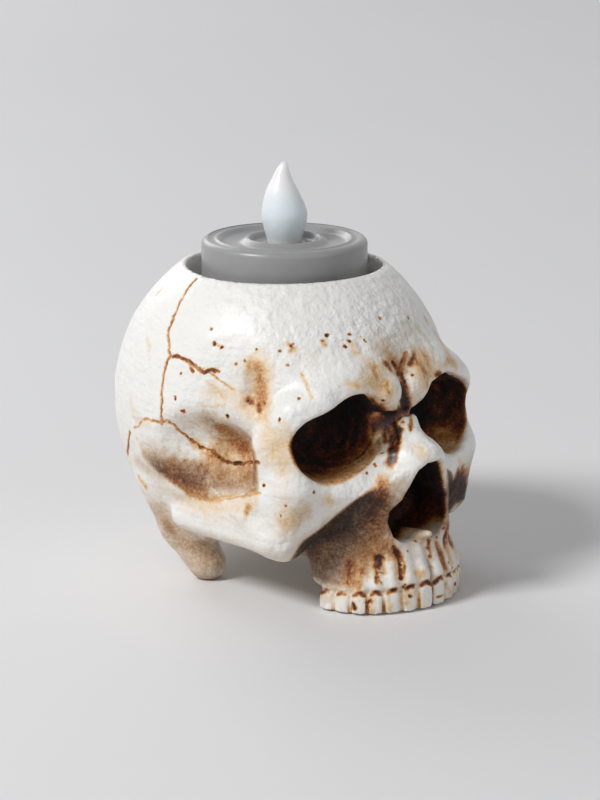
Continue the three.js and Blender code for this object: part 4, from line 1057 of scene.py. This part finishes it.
class Marks:
    """The cracks, pits and strokes of the skull, laid onto its surface on both sides."""

    def __init__(self, points, triangles):
        self.cast = caster(points, triangles)
        self.random = np.random.default_rng(5)
        self.cracks, self.pits, self.strokes = [], [], []
        for crack in CRACKS.values():
            self.add_crack(*crack)
        for pit in PITS:
            self.add_pit(*pit)
        for stroke in STROKES:
            self.add_stroke(*stroke)

    def add_crack(self, half, tone, pixels):
        """A crack of uneven width with short splinters, and the same one on the far side."""
        random = self.random
        path = laid_path(self.cast, pixels, CRACK_STEP)
        path = path + random.normal(0, CRACK_JITTER, path.shape)
        radii = half * random.uniform(*CRACK_WIDTHS, len(path))
        self.cracks.append((path, radii, tone))
        for _ in range(len(path) // 3 if half > SPLINTER_FROM else 0):
            start = path[random.integers(len(path))]
            way = random.normal(0, 1, 3) * half * SPLINTER["length"]
            widths = [half * SPLINTER["width"], SPLINTER["end"]]
            self.cracks.append((np.stack([start, start + way]), widths, tone * SPLINTER["tone"]))
        if path[:, 0].max() < -CRACK_OUT:
            shift = np.cumsum(random.normal(0, CRACK_WANDER, path.shape), 0)
            mirrored = (path + shift) * FAR_SIDE + CRACK_SHIFT
            self.cracks.append((mirrored, radii[::-1], tone))

    def add_pit(self, u, v, half):
        """A cluster of three small pits, and one pit on the far side."""
        place = self.cast((u, v))
        if place is None:
            return
        for _ in range(PIT_COUNT):
            spot = place + self.random.normal(0, half * PIT_SPREAD, 3)
            self.pits.append((spot[None], [half * self.random.uniform(*PIT_WIDTHS)]))
        spot = place * FAR_SIDE + self.random.normal(0, FAR_PIT_SHIFT, 3)
        self.pits.append((spot[None], [half * FAR_PIT_WIDTH]))

    def add_stroke(self, kind, strength, radius, pixels, *edges):
        """A stroke, and one a little fainter on the far side."""
        path = laid_path(self.cast, pixels, STROKE_STEP)
        if not len(path):
            return
        self.strokes.append((kind, strength, radius, path, edges))
        if path[:, 0].max() < -STROKE_OUT:
            mirrored = path * FAR_SIDE + self.random.normal(0, STROKE_SHIFT * radius, 3)
            fainter = strength * self.random.uniform(*STROKE_FAINTER)
            self.strokes.append((kind, fainter, radius, mirrored, edges))

    def crack_distance(self, p):
        d = np.full(len(p), FAR)
        for path, radii, _ in self.cracks:
            d = np.minimum(d, path_distance(p, path, radii))
        return d

    def crack_tone(self, p):
        """How dark the cracks are painted: stain, and in the two brow lines partly painted shade."""
        result = np.zeros(len(p))
        for path, radii, tone in self.cracks:
            result = np.maximum(result, tone * smooth(0.36, -0.12, path_distance(p, path, radii, 2.0)))
        return result * (1 + 0.3 * noise(p, 1.3, 3))

    def pit_distance(self, p):
        d = np.full(len(p), FAR)
        for path, radii in self.pits:
            d = np.minimum(d, path_distance(p, path, radii))
        return d

    def level(self, p, kind):
        """How strong the strokes of a kind are at each point: where they meet, 1 at most."""
        clear = np.ones(len(p))
        pixels = pixels_of(p)
        inside = {name: smooth(*LINE_FADE, within(pixels, line)) for name, line in EDGES.items()}
        ragged = RAGGED[0] * noise(p, RAGGED[1], 12)
        drift = DRIFT[0] * noise(p, DRIFT[1], 11) + FINE_DRIFT[0] * noise(p, FINE_DRIFT[1], 13)
        for one, strength, radius, path, edges in self.strokes:
            if one != kind:
                continue
            away = path_distance(p, path, [0] * len(path), STROKE_REACH * radius) / radius
            near = away < STROKE_REACH - 0.01
            rough = min(1, RAGGED_RADIUS / radius) * near
            away = away * (1 + ragged * rough) + drift * rough
            cover = strength * near * smooth(STROKE_FADE, 0.0, away)
            for name in edges:
                cover = cover * inside[name]
            clear *= 1 - np.minimum(cover, 1)
        return 1 - clear


# half widths of the gum line and of the gaps between the teeth, and the reach of both
GUM_LINE = 0.3
TOOTH_GAP = 0.18
GUM_REACH = 3.0
MIDDLE_GAP = [(0, 47.4, 6), (0, 47, -0.5)]


def gum_paths():
    """The line where the teeth leave the gum, and the gaps between them, on one side."""
    line, gaps = [(0, TEETH[0][1] - 0.4, TEETH[0][4] - 0.7)], []
    for (x, f, half, turn, height), after in zip(TEETH, TEETH[1:] + [None]):
        s, c = sine_cosine(turn)
        line.append((x, f, height + 0.25))
        edge = np.array([x + half * c - 0.3 * s, f - half * s - 0.3 * c])
        if after:
            s, c = sine_cosine(after[3])
            edge = (edge + np.array(after[:2]) - after[2] * np.array([c, -s])) / 2
            line.append((*edge, height - 0.3))
            gaps.append(np.array([(*edge, height - 0.6), (*(edge - 0.2), -0.5)]))
        else:
            line.append((*edge, height - 0.6))
    return np.array(line), gaps


def gum_distance(p):
    """Distance to the gum line and to the gaps between the teeth."""
    line, gaps = gum_paths()
    pair = np.abs(p * (1, 0, 0)) + p * (0, 1, 1)
    along = path_distance(pair, line, [GUM_LINE] * len(line), GUM_REACH)
    between = np.full(len(p), GUM_REACH)
    for gap in [np.array(MIDDLE_GAP)] + gaps:
        away = path_distance(pair, gap, [TOOTH_GAP, TOOTH_GAP * 2], GUM_REACH)
        between = np.minimum(between, away)
    return along, between


def finished_field(marks):
    """The skull with its uneven surface, cracks, pits, gum line and worn teeth."""
    def field(p):
        f, z = p[:, 1], p[:, 2]
        even = smooth(WELL_RADIUS, WELL_RADIUS + 3, np.hypot(p[:, 0], f)) * smooth(-0.2, 1.5, z)
        fine = UNEVEN["fine"] + UNEVEN["pebble"] * marks.level(p, "pebble")
        slow = UNEVEN["slow"] * noise(p, UNEVEN["slow_size"], 1)
        d = skull_distance(p) + even * (slow + fine * noise(p, UNEVEN["fine_size"], 2))
        cut = np.minimum(marks.crack_distance(p), marks.pit_distance(p))
        d = blend_out(d, -cut, MARK_BLEND)
        d = blend_out(d, -np.minimum(*gum_distance(p)), GUM_BLEND)
        worn = WORN["depth"] * noise(p * (1, 1, 0), WORN["size"], 21) - WORN["level"]
        d = np.maximum(d, np.clip(worn, 0, WORN["most"]) * smooth(*TEETH_FRONT, f) - z)
        return with_well(d, p, *FINISHED_WELL)
    return field


def wanted_length(marks):
    """Longest edge of the skull's mesh at places p."""
    def wanted(p):
        out, f, z = np.abs(p[:, 0]), p[:, 1], p[:, 2]
        socket = (np.abs(socket_distance(out, f, z)) < 1.5) & (socket_depth(out, f, z) < 2)
        nose = np.abs(nose_distance(out, f, z)) < 1.2
        mark = np.minimum(marks.crack_distance(p), marks.pit_distance(p))
        size = np.full(len(p), EDGE_LENGTHS["back"])
        for name, where in (
                ("front", f > 0),
                ("face", f > 28),
                ("opening", socket & (f > 15)),
                ("teeth", (z < 8.5) & (f > 24)),
                ("opening", nose & (f > 36)),
                ("gum", (np.minimum(*gum_distance(p)) < 0.45) & (f > 24)),
                ("beside a mark", mark < 1.2),
                ("mark", mark < 0.4),
                ("hidden", (np.hypot(out, f) < WELL_RADIUS - 2) | (z < 0.3))):
            size[where] = EDGE_LENGTHS[name]
        return size
    return wanted


def socket_level(points):
    """How dark the eye sockets are painted: black deeper in as painted shade, but brown on the floor
    and paler on the outer wall as painted light falling into them.
    """
    out, f, z = np.abs(points[:, 0]), points[:, 1], points[:, 2]
    deep = socket_depth(out, f, z)
    within_rim = smooth(1.0, -0.3, socket_distance(out, f, z)) * (f > 10)
    turn = np.arctan2(z - SOCKET["centre"][1], out - SOCKET["centre"][0] + 0.1 * deep)
    floor = smooth(-0.1, 0.6, -np.sin(turn)) * smooth(0.9, 0.4, np.cos(turn))
    outer = smooth(-0.1, 0.6, np.cos(turn))
    # black all over as painted shade, brown on the floor and paler on the outer wall as painted light
    black = 1.1 * smooth(0.1, 1.6, deep)
    brown = 0.42 * smooth(-0.5, 0.2, deep) + 0.6 * smooth(3.5, 10.0, deep)
    wall = (0.95 - 0.66 * smooth(35, 30, z)) * smooth(0.0, 1.2, deep) + 0.5 * smooth(9, 14, deep)
    level = black + (brown - black) * floor
    level = level + (wall - level) * outer * (1 - floor * 0.6)
    return within_rim * level * (1 + 0.22 * noise(points * (1.6, 1.6, 0.5), 2.0, 4))


def nose_level(points):
    """How dark the nose opening is painted: black further in as painted shade, but for the front of its
    floor.
    """
    out, f, z = np.abs(points[:, 0]), points[:, 1], points[:, 2]
    inside = smooth(0.6, -0.2, nose_distance(out, f, z)) * (f > 25)
    floor = smooth(18.6, 16.2, z)
    black = 1.1 * smooth(45.4, 43.4, f - 0.15 * (z - 24))
    return inside * (black + (0.14 + 0.9 * smooth(42, 36, f) - black) * floor)


def hollowness(points, way, reach):
    """How much of the space in front of each point the skull itself fills, from 0 to 1."""
    return np.clip(1 - skull_distance(points + way * reach) / reach, 0, 1)


def paint(marks, points):
    """What the resin's material reads at each point of the surface, from 0 to about 1."""
    _, way, _ = slope(skull_distance, points, 0.2)
    out, f, z = np.abs(points[:, 0]), points[:, 1], points[:, 2]
    at_teeth = smooth(*TEETH_FRONT, f)
    line, between = gum_distance(points)
    patchy = 0.5 + 0.5 * noise(points, 3.4, 8)
    gum = np.maximum(smooth(0.6, -0.1, line) * (0.95 + 0.4 * patchy),
                     smooth(0.34, -0.1, between) * (0.4 + 0.6 * patchy)) * (z > 0.1) * at_teeth
    pit = smooth(0.36, -0.1, marks.pit_distance(points)) * (0.85 + 0.35 * noise(points, 1.7, 6))
    # the sockets and the nose opening bring painted shade and light, and a few stain strokes bring
    # painted shade; the rest is stain, cracks, pits and the gum line
    stain = np.maximum(socket_level(points), nose_level(points))
    for level in (marks.level(points, "stain"), marks.crack_tone(points), pit, gum):
        stain = np.maximum(stain, level)
    grooves = 0.3 * hollowness(points, way, 1.2) + 0.22 * hollowness(points, way, 3.5) - 0.1
    wash = np.maximum(marks.level(points, "wash"), grooves)
    in_socket = smooth(1.0, -0.2, socket_distance(out, f, z)) * (f > 10)
    in_nose = smooth(0.6, -0.2, nose_distance(out, f, z)) * (f > 25)
    wash = wash * (1 - 0.7 * smooth(7, 5, z) * at_teeth) * (1 - 0.8 * in_socket)
    # painted shade: darker near the bottom and on faces that look down, added to the wash
    under = smooth(3, 0, z) * 0.2 * (1 - at_teeth) + smooth(0.3, -0.8, way[:, 2]) * 0.2
    gloss = marks.level(points, "gloss")
    return {
        "stain": stain,
        "wash": np.clip(wash + under, 0, 1),
        # how hollow each point is, read by the resin as cream painted shade
        "hollow": hollowness(points, way, 9.0),
        "pebble": marks.level(points, "pebble"),
        "gloss": gloss - 0.6 * np.maximum(in_socket, in_nose) * (1 - gloss),
    }


def make_skull():
    points, quads = surface_nets(skull_distance, GRID_LOW, GRID_HIGH, GRID_CELL)
    points = settle(skull_distance, points, GRID_CELL / 3)
    triangles = halves(points, quads)
    marks = Marks(points, triangles)
    field = finished_field(marks)
    for _ in range(ROUNDS):
        points, triangles = refine(skull_distance, points, triangles, wanted_length(marks))
    _, way, steep = slope(skull_distance, points)
    for _ in range(ROUNDS):
        points = points - np.clip(field(points) / steep, -ROUND_REACH, ROUND_REACH)[:, None] * way
    skull = mesh_object("skull", to_frame(points), triangles)
    for name, values in paint(marks, points).items():
        attach(skull, name, values)
    skull.data.shade_smooth()
    dress(skull, resin(), "skull", "skull_resin", "skull_casting")


# The ripple rings in the housing's top: radius as a share of its own, depth as a share of theirs
RINGS = [(0.925, 0.03), (0.875, 0.2), (0.845, 0.16), (0.81, 0.0), (0.775, 0.2), (0.72, 0.58),
         (0.63, 0.68), (0.55, 0.58), (0.5, 0.28), (0.465, 0.06), (0.435, 0.0), (0.405, 0.3),
         (0.375, 0.75), (0.33, 0.92), (0.29, 0.9), (0.26, 0.7)]
RING_DEPTH = 1.8
# how far the rings' crests stand above the plain solid's flat top
CREST = 0.55
EDGE_ROUND = 1.5
FOOT_ROUND = 0.25
SHELL_WALL = 1.2
ROOF_WALL = 1.2
# the flame's neck, and the play that the roof's hole leaves round it
FLAME_NECK = 3.93
NECK_PLAY = 0.12
# height above the flame's foot, half width, and how far its middle leans to the photograph's right
FLAME = [(0.0, 3.9, 0.0), (1.87, 4.47, -0.03), (3.97, 4.98, 0.02), (6.07, 5.23, 0.05),
         (8.4, 4.75, -0.2), (11.4, 3.67, -0.55), (13.8, 2.49, -0.58), (16.1, 1.47, -0.42),
         (17.6, 0.78, -0.05)]
FLAME_TOP = 18.0


def curve(points, steps):
    """A smooth curve through points, with steps places in each span."""
    points = np.asarray(points, float)
    ends = np.concatenate([[2 * points[0] - points[1]], points, [2 * points[-1] - points[-2]]])
    made = []
    for a, b, c, d in zip(ends[:-3], ends[1:-2], ends[2:-1], ends[3:]):
        square, cube = 2 * a - 5 * b + 4 * c - d, 3 * (b - c) + d - a
        for t in np.arange(steps) / steps:
            made.append(b + 0.5 * t * (c - a + t * (square + t * cube)))
    return np.array(made + [points[-1]])


def turning_tree():
    """Geometry Nodes that sweep an outline around a circle: across it is x, and down it is y."""
    tree = bpy.data.node_groups.new("turning", "GeometryNodeTree")
    tree.is_modifier = True
    sockets = {"Outline": "Geometry", "Steps": "Int", "Radius": "Float", "Material": "Material"}
    for name, kind in sockets.items():
        tree.interface.new_socket(name, in_out="INPUT", socket_type="NodeSocket" + kind)
    tree.interface.new_socket("Body", in_out="OUTPUT", socket_type="NodeSocketGeometry")
    nodes = {name: tree.nodes.new(kind) for name, kind in (
        ("given", "NodeGroupInput"), ("result", "NodeGroupOutput"),
        ("line", "GeometryNodeMeshToCurve"), ("inward", "ShaderNodeMath"),
        ("shift", "ShaderNodeCombineXYZ"), ("profile", "GeometryNodeSetPosition"),
        ("circle", "GeometryNodeCurvePrimitiveCircle"), ("swept", "GeometryNodeCurveToMesh"),
        ("real", "GeometryNodeRealizeInstances"), ("dyed", "GeometryNodeSetMaterial"))}
    nodes["inward"].operation = "MULTIPLY"
    nodes["inward"].inputs[1].default_value = -1
    for start, out, end, into in (
            ("given", "Outline", "line", "Mesh"), ("given", "Radius", "inward", 0),
            ("inward", 0, "shift", "X"), ("line", "Curve", "profile", "Geometry"),
            ("shift", 0, "profile", "Offset"), ("given", "Steps", "circle", "Resolution"),
            ("given", "Radius", "circle", "Radius"), ("circle", "Curve", "swept", "Curve"),
            ("profile", "Geometry", "swept", "Profile Curve"), ("swept", "Mesh", "real", "Geometry"),
            ("real", "Geometry", "dyed", "Geometry"), ("given", "Material", "dyed", "Material"),
            ("dyed", "Geometry", "result", "Body")):
        tree.links.new(nodes[start].outputs[out], nodes[end].inputs[into])
    return tree


def turned(name, outline, material, steps=128, lean=None):
    """A body turned about the tealight's axis from (radius, z) in sculpt units.

    Its outline closes on itself, or ends on the axis. lean shifts it sideways by height.
    """
    tree = bpy.data.node_groups.get("turning") or turning_tree()
    count = len(outline)
    closed = outline[0][0] > 0
    edges = [(k, (k + 1) % count) for k in range(count if closed else count - 1)]
    drawn = bpy.data.meshes.new(name + "_outline")
    drawn.from_pydata([(r, -z, 0) for r, z in outline], edges, [])
    thing = placed(name + "_outline", drawn)
    sweep = thing.modifiers.new("turning", "NODES")
    sweep.node_group = tree
    inputs = {"Steps": steps, "Radius": max(r for r, _ in outline), "Material": material}
    for item in tree.interface.items_tree:
        if item.name in inputs:
            sweep[item.identifier] = inputs[item.name]
    whole = thing.evaluated_get(bpy.context.evaluated_depsgraph_get())
    mesh = bpy.data.meshes.new_from_object(whole)
    bpy.data.objects.remove(thing)
    bpy.data.meshes.remove(drawn)
    mesh.name = name
    points = np.array([v.co for v in mesh.vertices])
    if lean is not None:
        right = camera_axes()[0]
        points[:, :2] += np.outer(lean(points[:, 2]), right[:2])
    mesh.vertices.foreach_set("co", to_frame(points).ravel())
    return finished(placed(name, mesh))


# points closer than this are one point, in metres, and faces that meet at less than the angle
# are shaded as one surface
SAME_POINT = 1e-7
SMOOTH_ANGLE = math.radians(35)


def finished(thing):
    """Faces outward, and smooth shading but for the sharp edges."""
    mesh = bmesh.new()
    mesh.from_mesh(thing.data)
    bmesh.ops.remove_doubles(mesh, verts=mesh.verts, dist=SAME_POINT)
    bmesh.ops.recalc_face_normals(mesh, faces=mesh.faces)
    for edge in mesh.edges:
        edge.smooth = len(edge.link_faces) == 2 and edge.calc_face_angle() < SMOOTH_ANGLE
    for face in mesh.faces:
        face.smooth = True
    mesh.to_mesh(thing.data)
    mesh.free()
    return thing


def grey_plastic():
    """Satin moulded plastic in a mid grey."""
    p = Paint("grey_plastic", specular_ior_level=0.5)
    cloud = p.noise(0.004, 2)
    colour = p.mix(cloud, linear(149, 149, 150), linear(160, 160, 160))
    normal = p.bump(p.noise(0.00035, 2), 0.00001)
    return p.set(base_color=colour, roughness=0.25 + cloud * 0.1, normal=normal)


def milky_plastic():
    """Milky translucent plastic, a little bluer where it is thick."""
    p = Paint("milky_plastic", roughness=0.32, subsurface_weight=1.0, subsurface_scale=0.004)
    p.shader.inputs["Subsurface Radius"].default_value = (1, 1.05, 1.15)
    core = p.attribute("core") + (p.noise(0.003, 2) - 0.5) * 0.3
    colour = p.mix(core.step(0.1, 0.9), linear(246, 247, 248), linear(232, 241, 248))
    return p.set(base_color=colour, normal=p.bump(p.noise(0.0008, 2), 0.00001))


def make_housing():
    radius = (HOUSING_HIGH.x - HOUSING_LOW.x) / 2 / UNIT
    low, high = HOUSING_LOW.z / UNIT, HOUSING_HIGH.z / UNIT + CREST
    inner, neck = radius - SHELL_WALL, FLAME_NECK + NECK_PLAY
    roof = high - RING_DEPTH - ROOF_WALL
    outline = [(inner, low), (inner + FOOT_ROUND, low), (radius - FOOT_ROUND, low),
               (radius, low + FOOT_ROUND)]
    for a in np.linspace(0, math.pi / 2, 9):
        outline.append((radius - EDGE_ROUND * (1 - math.cos(a)), high - EDGE_ROUND * (1 - math.sin(a))))
    rings = [(radius * out, high - RING_DEPTH * deep) for out, deep in RINGS]
    outline += [tuple(v) for v in curve([(radius - EDGE_ROUND, high)] + rings, 6)[1:]]
    last = outline[-1]
    outline += [(neck + 0.15, last[1] - 0.05), (neck, last[1] - 0.25), (neck, roof), (inner, roof)]
    dress(turned("housing", outline, grey_plastic()), None, "candle", "grey_plastic", "candle_housing")


def make_flame():
    low, top = FLAME_LOW.z / UNIT, FLAME_HIGH.z / UNIT
    foot = top - FLAME_TOP
    flange, thick = 5.6, 1.0
    bore, bore_top = 2.2, low + 7.0
    outline = [(0, bore_top), (bore * 0.6, bore_top - 0.4), (bore, bore_top - 1.5), (bore, low),
               (flange, low), (flange, low + thick), (FLAME_NECK, low + thick),
               (FLAME_NECK, foot - 0.5)]
    outline += [tuple(v) for v in curve([(r, foot + up) for up, r, _ in FLAME], 5)]
    outline += [(0.5, top - 0.12), (0.25, top - 0.02), (0, top)]
    heights = [foot - 1] + [foot + up for up, _, _ in FLAME] + [top]
    leans = [0] + [lean for _, _, lean in FLAME] + [0.1]

    def lean(z):
        return np.interp(z, heights, leans) * (z > foot)

    flame = turned("flame", outline, milky_plastic(), 72, lean)
    up = np.array([v.co.z for v in flame.data.vertices]) / UNIT - foot
    attach(flame, "core", smooth(16, 6, up) * smooth(-1, 2, up))
    dress(flame, None, "candle", "milky_plastic", "flame_lens")


# what is merged in a CAD node's loose triangles, what counts as one flat face, and what is rounded
LOOSE_POINT = 2e-6
FLAT_ANGLE = math.radians(1)
SHARP_ANGLE = math.radians(30)
# The small pieces inside the tealight: node, width of the rounded edges in metres
INNER = [
    ("led_body", 0.00008), ("led_lead_positive", 0.00006), ("led_lead_negative", 0.00006),
    ("circuit_board", 0.00008), ("flicker_chip", 0.0001), ("switch_body", 0.00025),
    ("switch_slider", 0.00012), ("base_plate", 0.0001), ("contact_positive", 0.00005),
    ("contact_negative", 0.00005), ("coin_cell", 0.0002), ("battery_cover", 0.00015),
]


def softened(node, width):
    """A piece like a CAD node, with its flat faces whole and its edges rounded."""
    mesh = bmesh.new()
    mesh.from_mesh(frame["nodes"][node].data)
    bmesh.ops.remove_doubles(mesh, verts=mesh.verts, dist=LOOSE_POINT)
    bmesh.ops.dissolve_limit(mesh, angle_limit=FLAT_ANGLE, verts=mesh.verts, edges=mesh.edges)
    sharp = [e for e in mesh.edges if len(e.link_faces) == 2 and e.calc_face_angle() > SHARP_ANGLE]
    bmesh.ops.bevel(mesh, geom=sharp, offset=width, segments=2, profile=0.5, affect="EDGES",
                    clamp_overlap=True)
    data = bpy.data.meshes.new(node + "_soft")
    mesh.to_mesh(data)
    mesh.free()
    return finished(placed(node + "_soft", data))


def patched(name, first, second, size, metallic=0.0, roughness=0.4, transmission=0.0):
    """A finish of two close colours in soft patches about size across."""
    p = Paint(name, metallic=metallic, transmission_weight=transmission)
    cloud = p.noise(size, 3)
    normal = p.bump(p.noise(size / 8, 2), size / 300)
    rough = roughness + (cloud - 0.5) * 0.16
    return p.set(base_color=p.mix(cloud, first, second), roughness=rough, normal=normal)


def board_green():
    """Green solder mask with paler tracks under it."""
    p = Paint("board")
    tracks = p.cells(0.0022, {"feature": "DISTANCE_TO_EDGE", "distance": "MANHATTAN"})
    colour = p.mix(tracks.step(0.04, 0.09), linear(92, 150, 96), linear(38, 96, 54))
    return p.set(base_color=colour, roughness=0.35 + p.noise(0.002) * 0.2)


def make_inner():
    amber = linear(236, 190, 110), linear(244, 206, 132)
    tin = linear(190, 190, 186), linear(208, 208, 204)
    nickel = linear(196, 196, 194), linear(212, 212, 210)
    black = linear(22, 22, 24), linear(30, 30, 32)
    finishes = {
        "grey_plastic": bpy.data.materials["grey_plastic"],
        "amber_lens": patched("amber_lens", *amber, 0.002, roughness=0.12, transmission=0.6),
        "tinned_steel": patched("tinned_steel", *tin, 0.0015, metallic=1, roughness=0.3),
        "cell_steel": patched("cell_steel", *nickel, 0.006, metallic=1, roughness=0.22),
        "black_plastic": patched("black_plastic", *black, 0.002),
        "board": board_green(),
    }
    slots = {row["node"]: row["material_slot"] for row in frame["record"]["subparts"]}
    # all of it is on the tealight's body but for its two moving pieces
    bodies = {"switch_slider": "switch", "battery_cover": "cover"}
    for node, width in INNER:
        slot, body = slots[node], bodies.get(node, "candle")
        dress(softened(node, width), finishes[slot], body, slot, node)


def frame_way(way):
    """A direction in sculpt units as one of the frame."""
    return Vector((way[0], -way[1], way[2]))


def make_camera():
    data = bpy.data.cameras.new("camera")
    data.sensor_width = 36
    data.lens = FOCAL_PIXELS / max(IMAGE_SIZE) * data.sensor_width
    camera = placed("camera", data)
    turn = Matrix([frame_way(axis) for axis in camera_axes()]).transposed().to_4x4()
    camera.matrix_world = Matrix.Translation(Vector(to_frame(camera_place()))) @ turn
    bpy.context.scene.camera = camera


# Lamps: towards the photograph's right, up and towards its camera; size; power
LAMPS = [
    ("key", (-0.75, 0.85, 0.5), 0.58, 31),
    ("fill", (0.8, 0.25, 0.8), 2.0, 5.4),
    ("rim", (-0.5, 0.5, -0.9), 1.1, 9.6),
]
LAMP_DISTANCE = 2.2
LAMPS_AIM = (0, 5, 38)
# what lights the object from all round, and what the camera and the reflections see there
SURROUND = (0.21, 0.21, 0.2142)
BACKDROP = (0.8, 0.8, 0.81)
FLOOR_HALF = 9.0
# just under the object's feet
FLOOR_LEVEL = -0.0002


def make_lamps():
    right, _, back = camera_axes()
    ahead = np.array([back[0], back[1], 0])
    ahead /= np.linalg.norm(ahead)
    for name, (side, up, near), size, power in LAMPS:
        data = bpy.data.lights.new(name, "AREA")
        data.size = size
        data.energy = power
        lamp = placed(name, data)
        way = frame_way(right * side + ahead * near + np.array([0, 0, up])).normalized()
        lamp.location = Vector(to_frame(LAMPS_AIM)) + way * LAMP_DISTANCE
        lamp.rotation_euler = (-way).to_track_quat("-Z", "Y").to_euler()


def make_world():
    world = bpy.data.worlds.new("studio")
    bpy.context.scene.world = world
    world.use_nodes = True
    sky = Nodes(world.node_tree)
    camera, glass, gloss = [
        sky.node("ShaderNodeLightPath", {}, {}, "Is %s Ray" % kind)
        for kind in ("Camera", "Transmission", "Glossy")]
    colour = sky.mix(camera.most(glass).most(gloss), SURROUND, BACKDROP)
    sky.tree.links.new(colour.socket, sky.tree.nodes["Background"].inputs["Color"])
    sky.tree.nodes["Background"].inputs["Strength"].default_value = 1


def make_floor():
    signs = ((-1, -1), (1, -1), (1, 1), (-1, 1))
    corners = [(x * FLOOR_HALF, y * FLOOR_HALF, FLOOR_LEVEL) for x, y in signs]
    floor = mesh_object("floor", corners, [(0, 1, 2, 3)])
    p = Paint("floor", roughness=0.6)
    colour = p.mix(p.noise(0.2, 2), linear(236, 236, 237), linear(240, 240, 241))
    floor.data.materials.append(p.set(base_color=colour))


make_camera()
make_lamps()
make_world()
make_floor()
make_skull()
make_housing()
make_flame()
make_inner()
bpy.context.scene.view_settings.view_transform = "Standard"
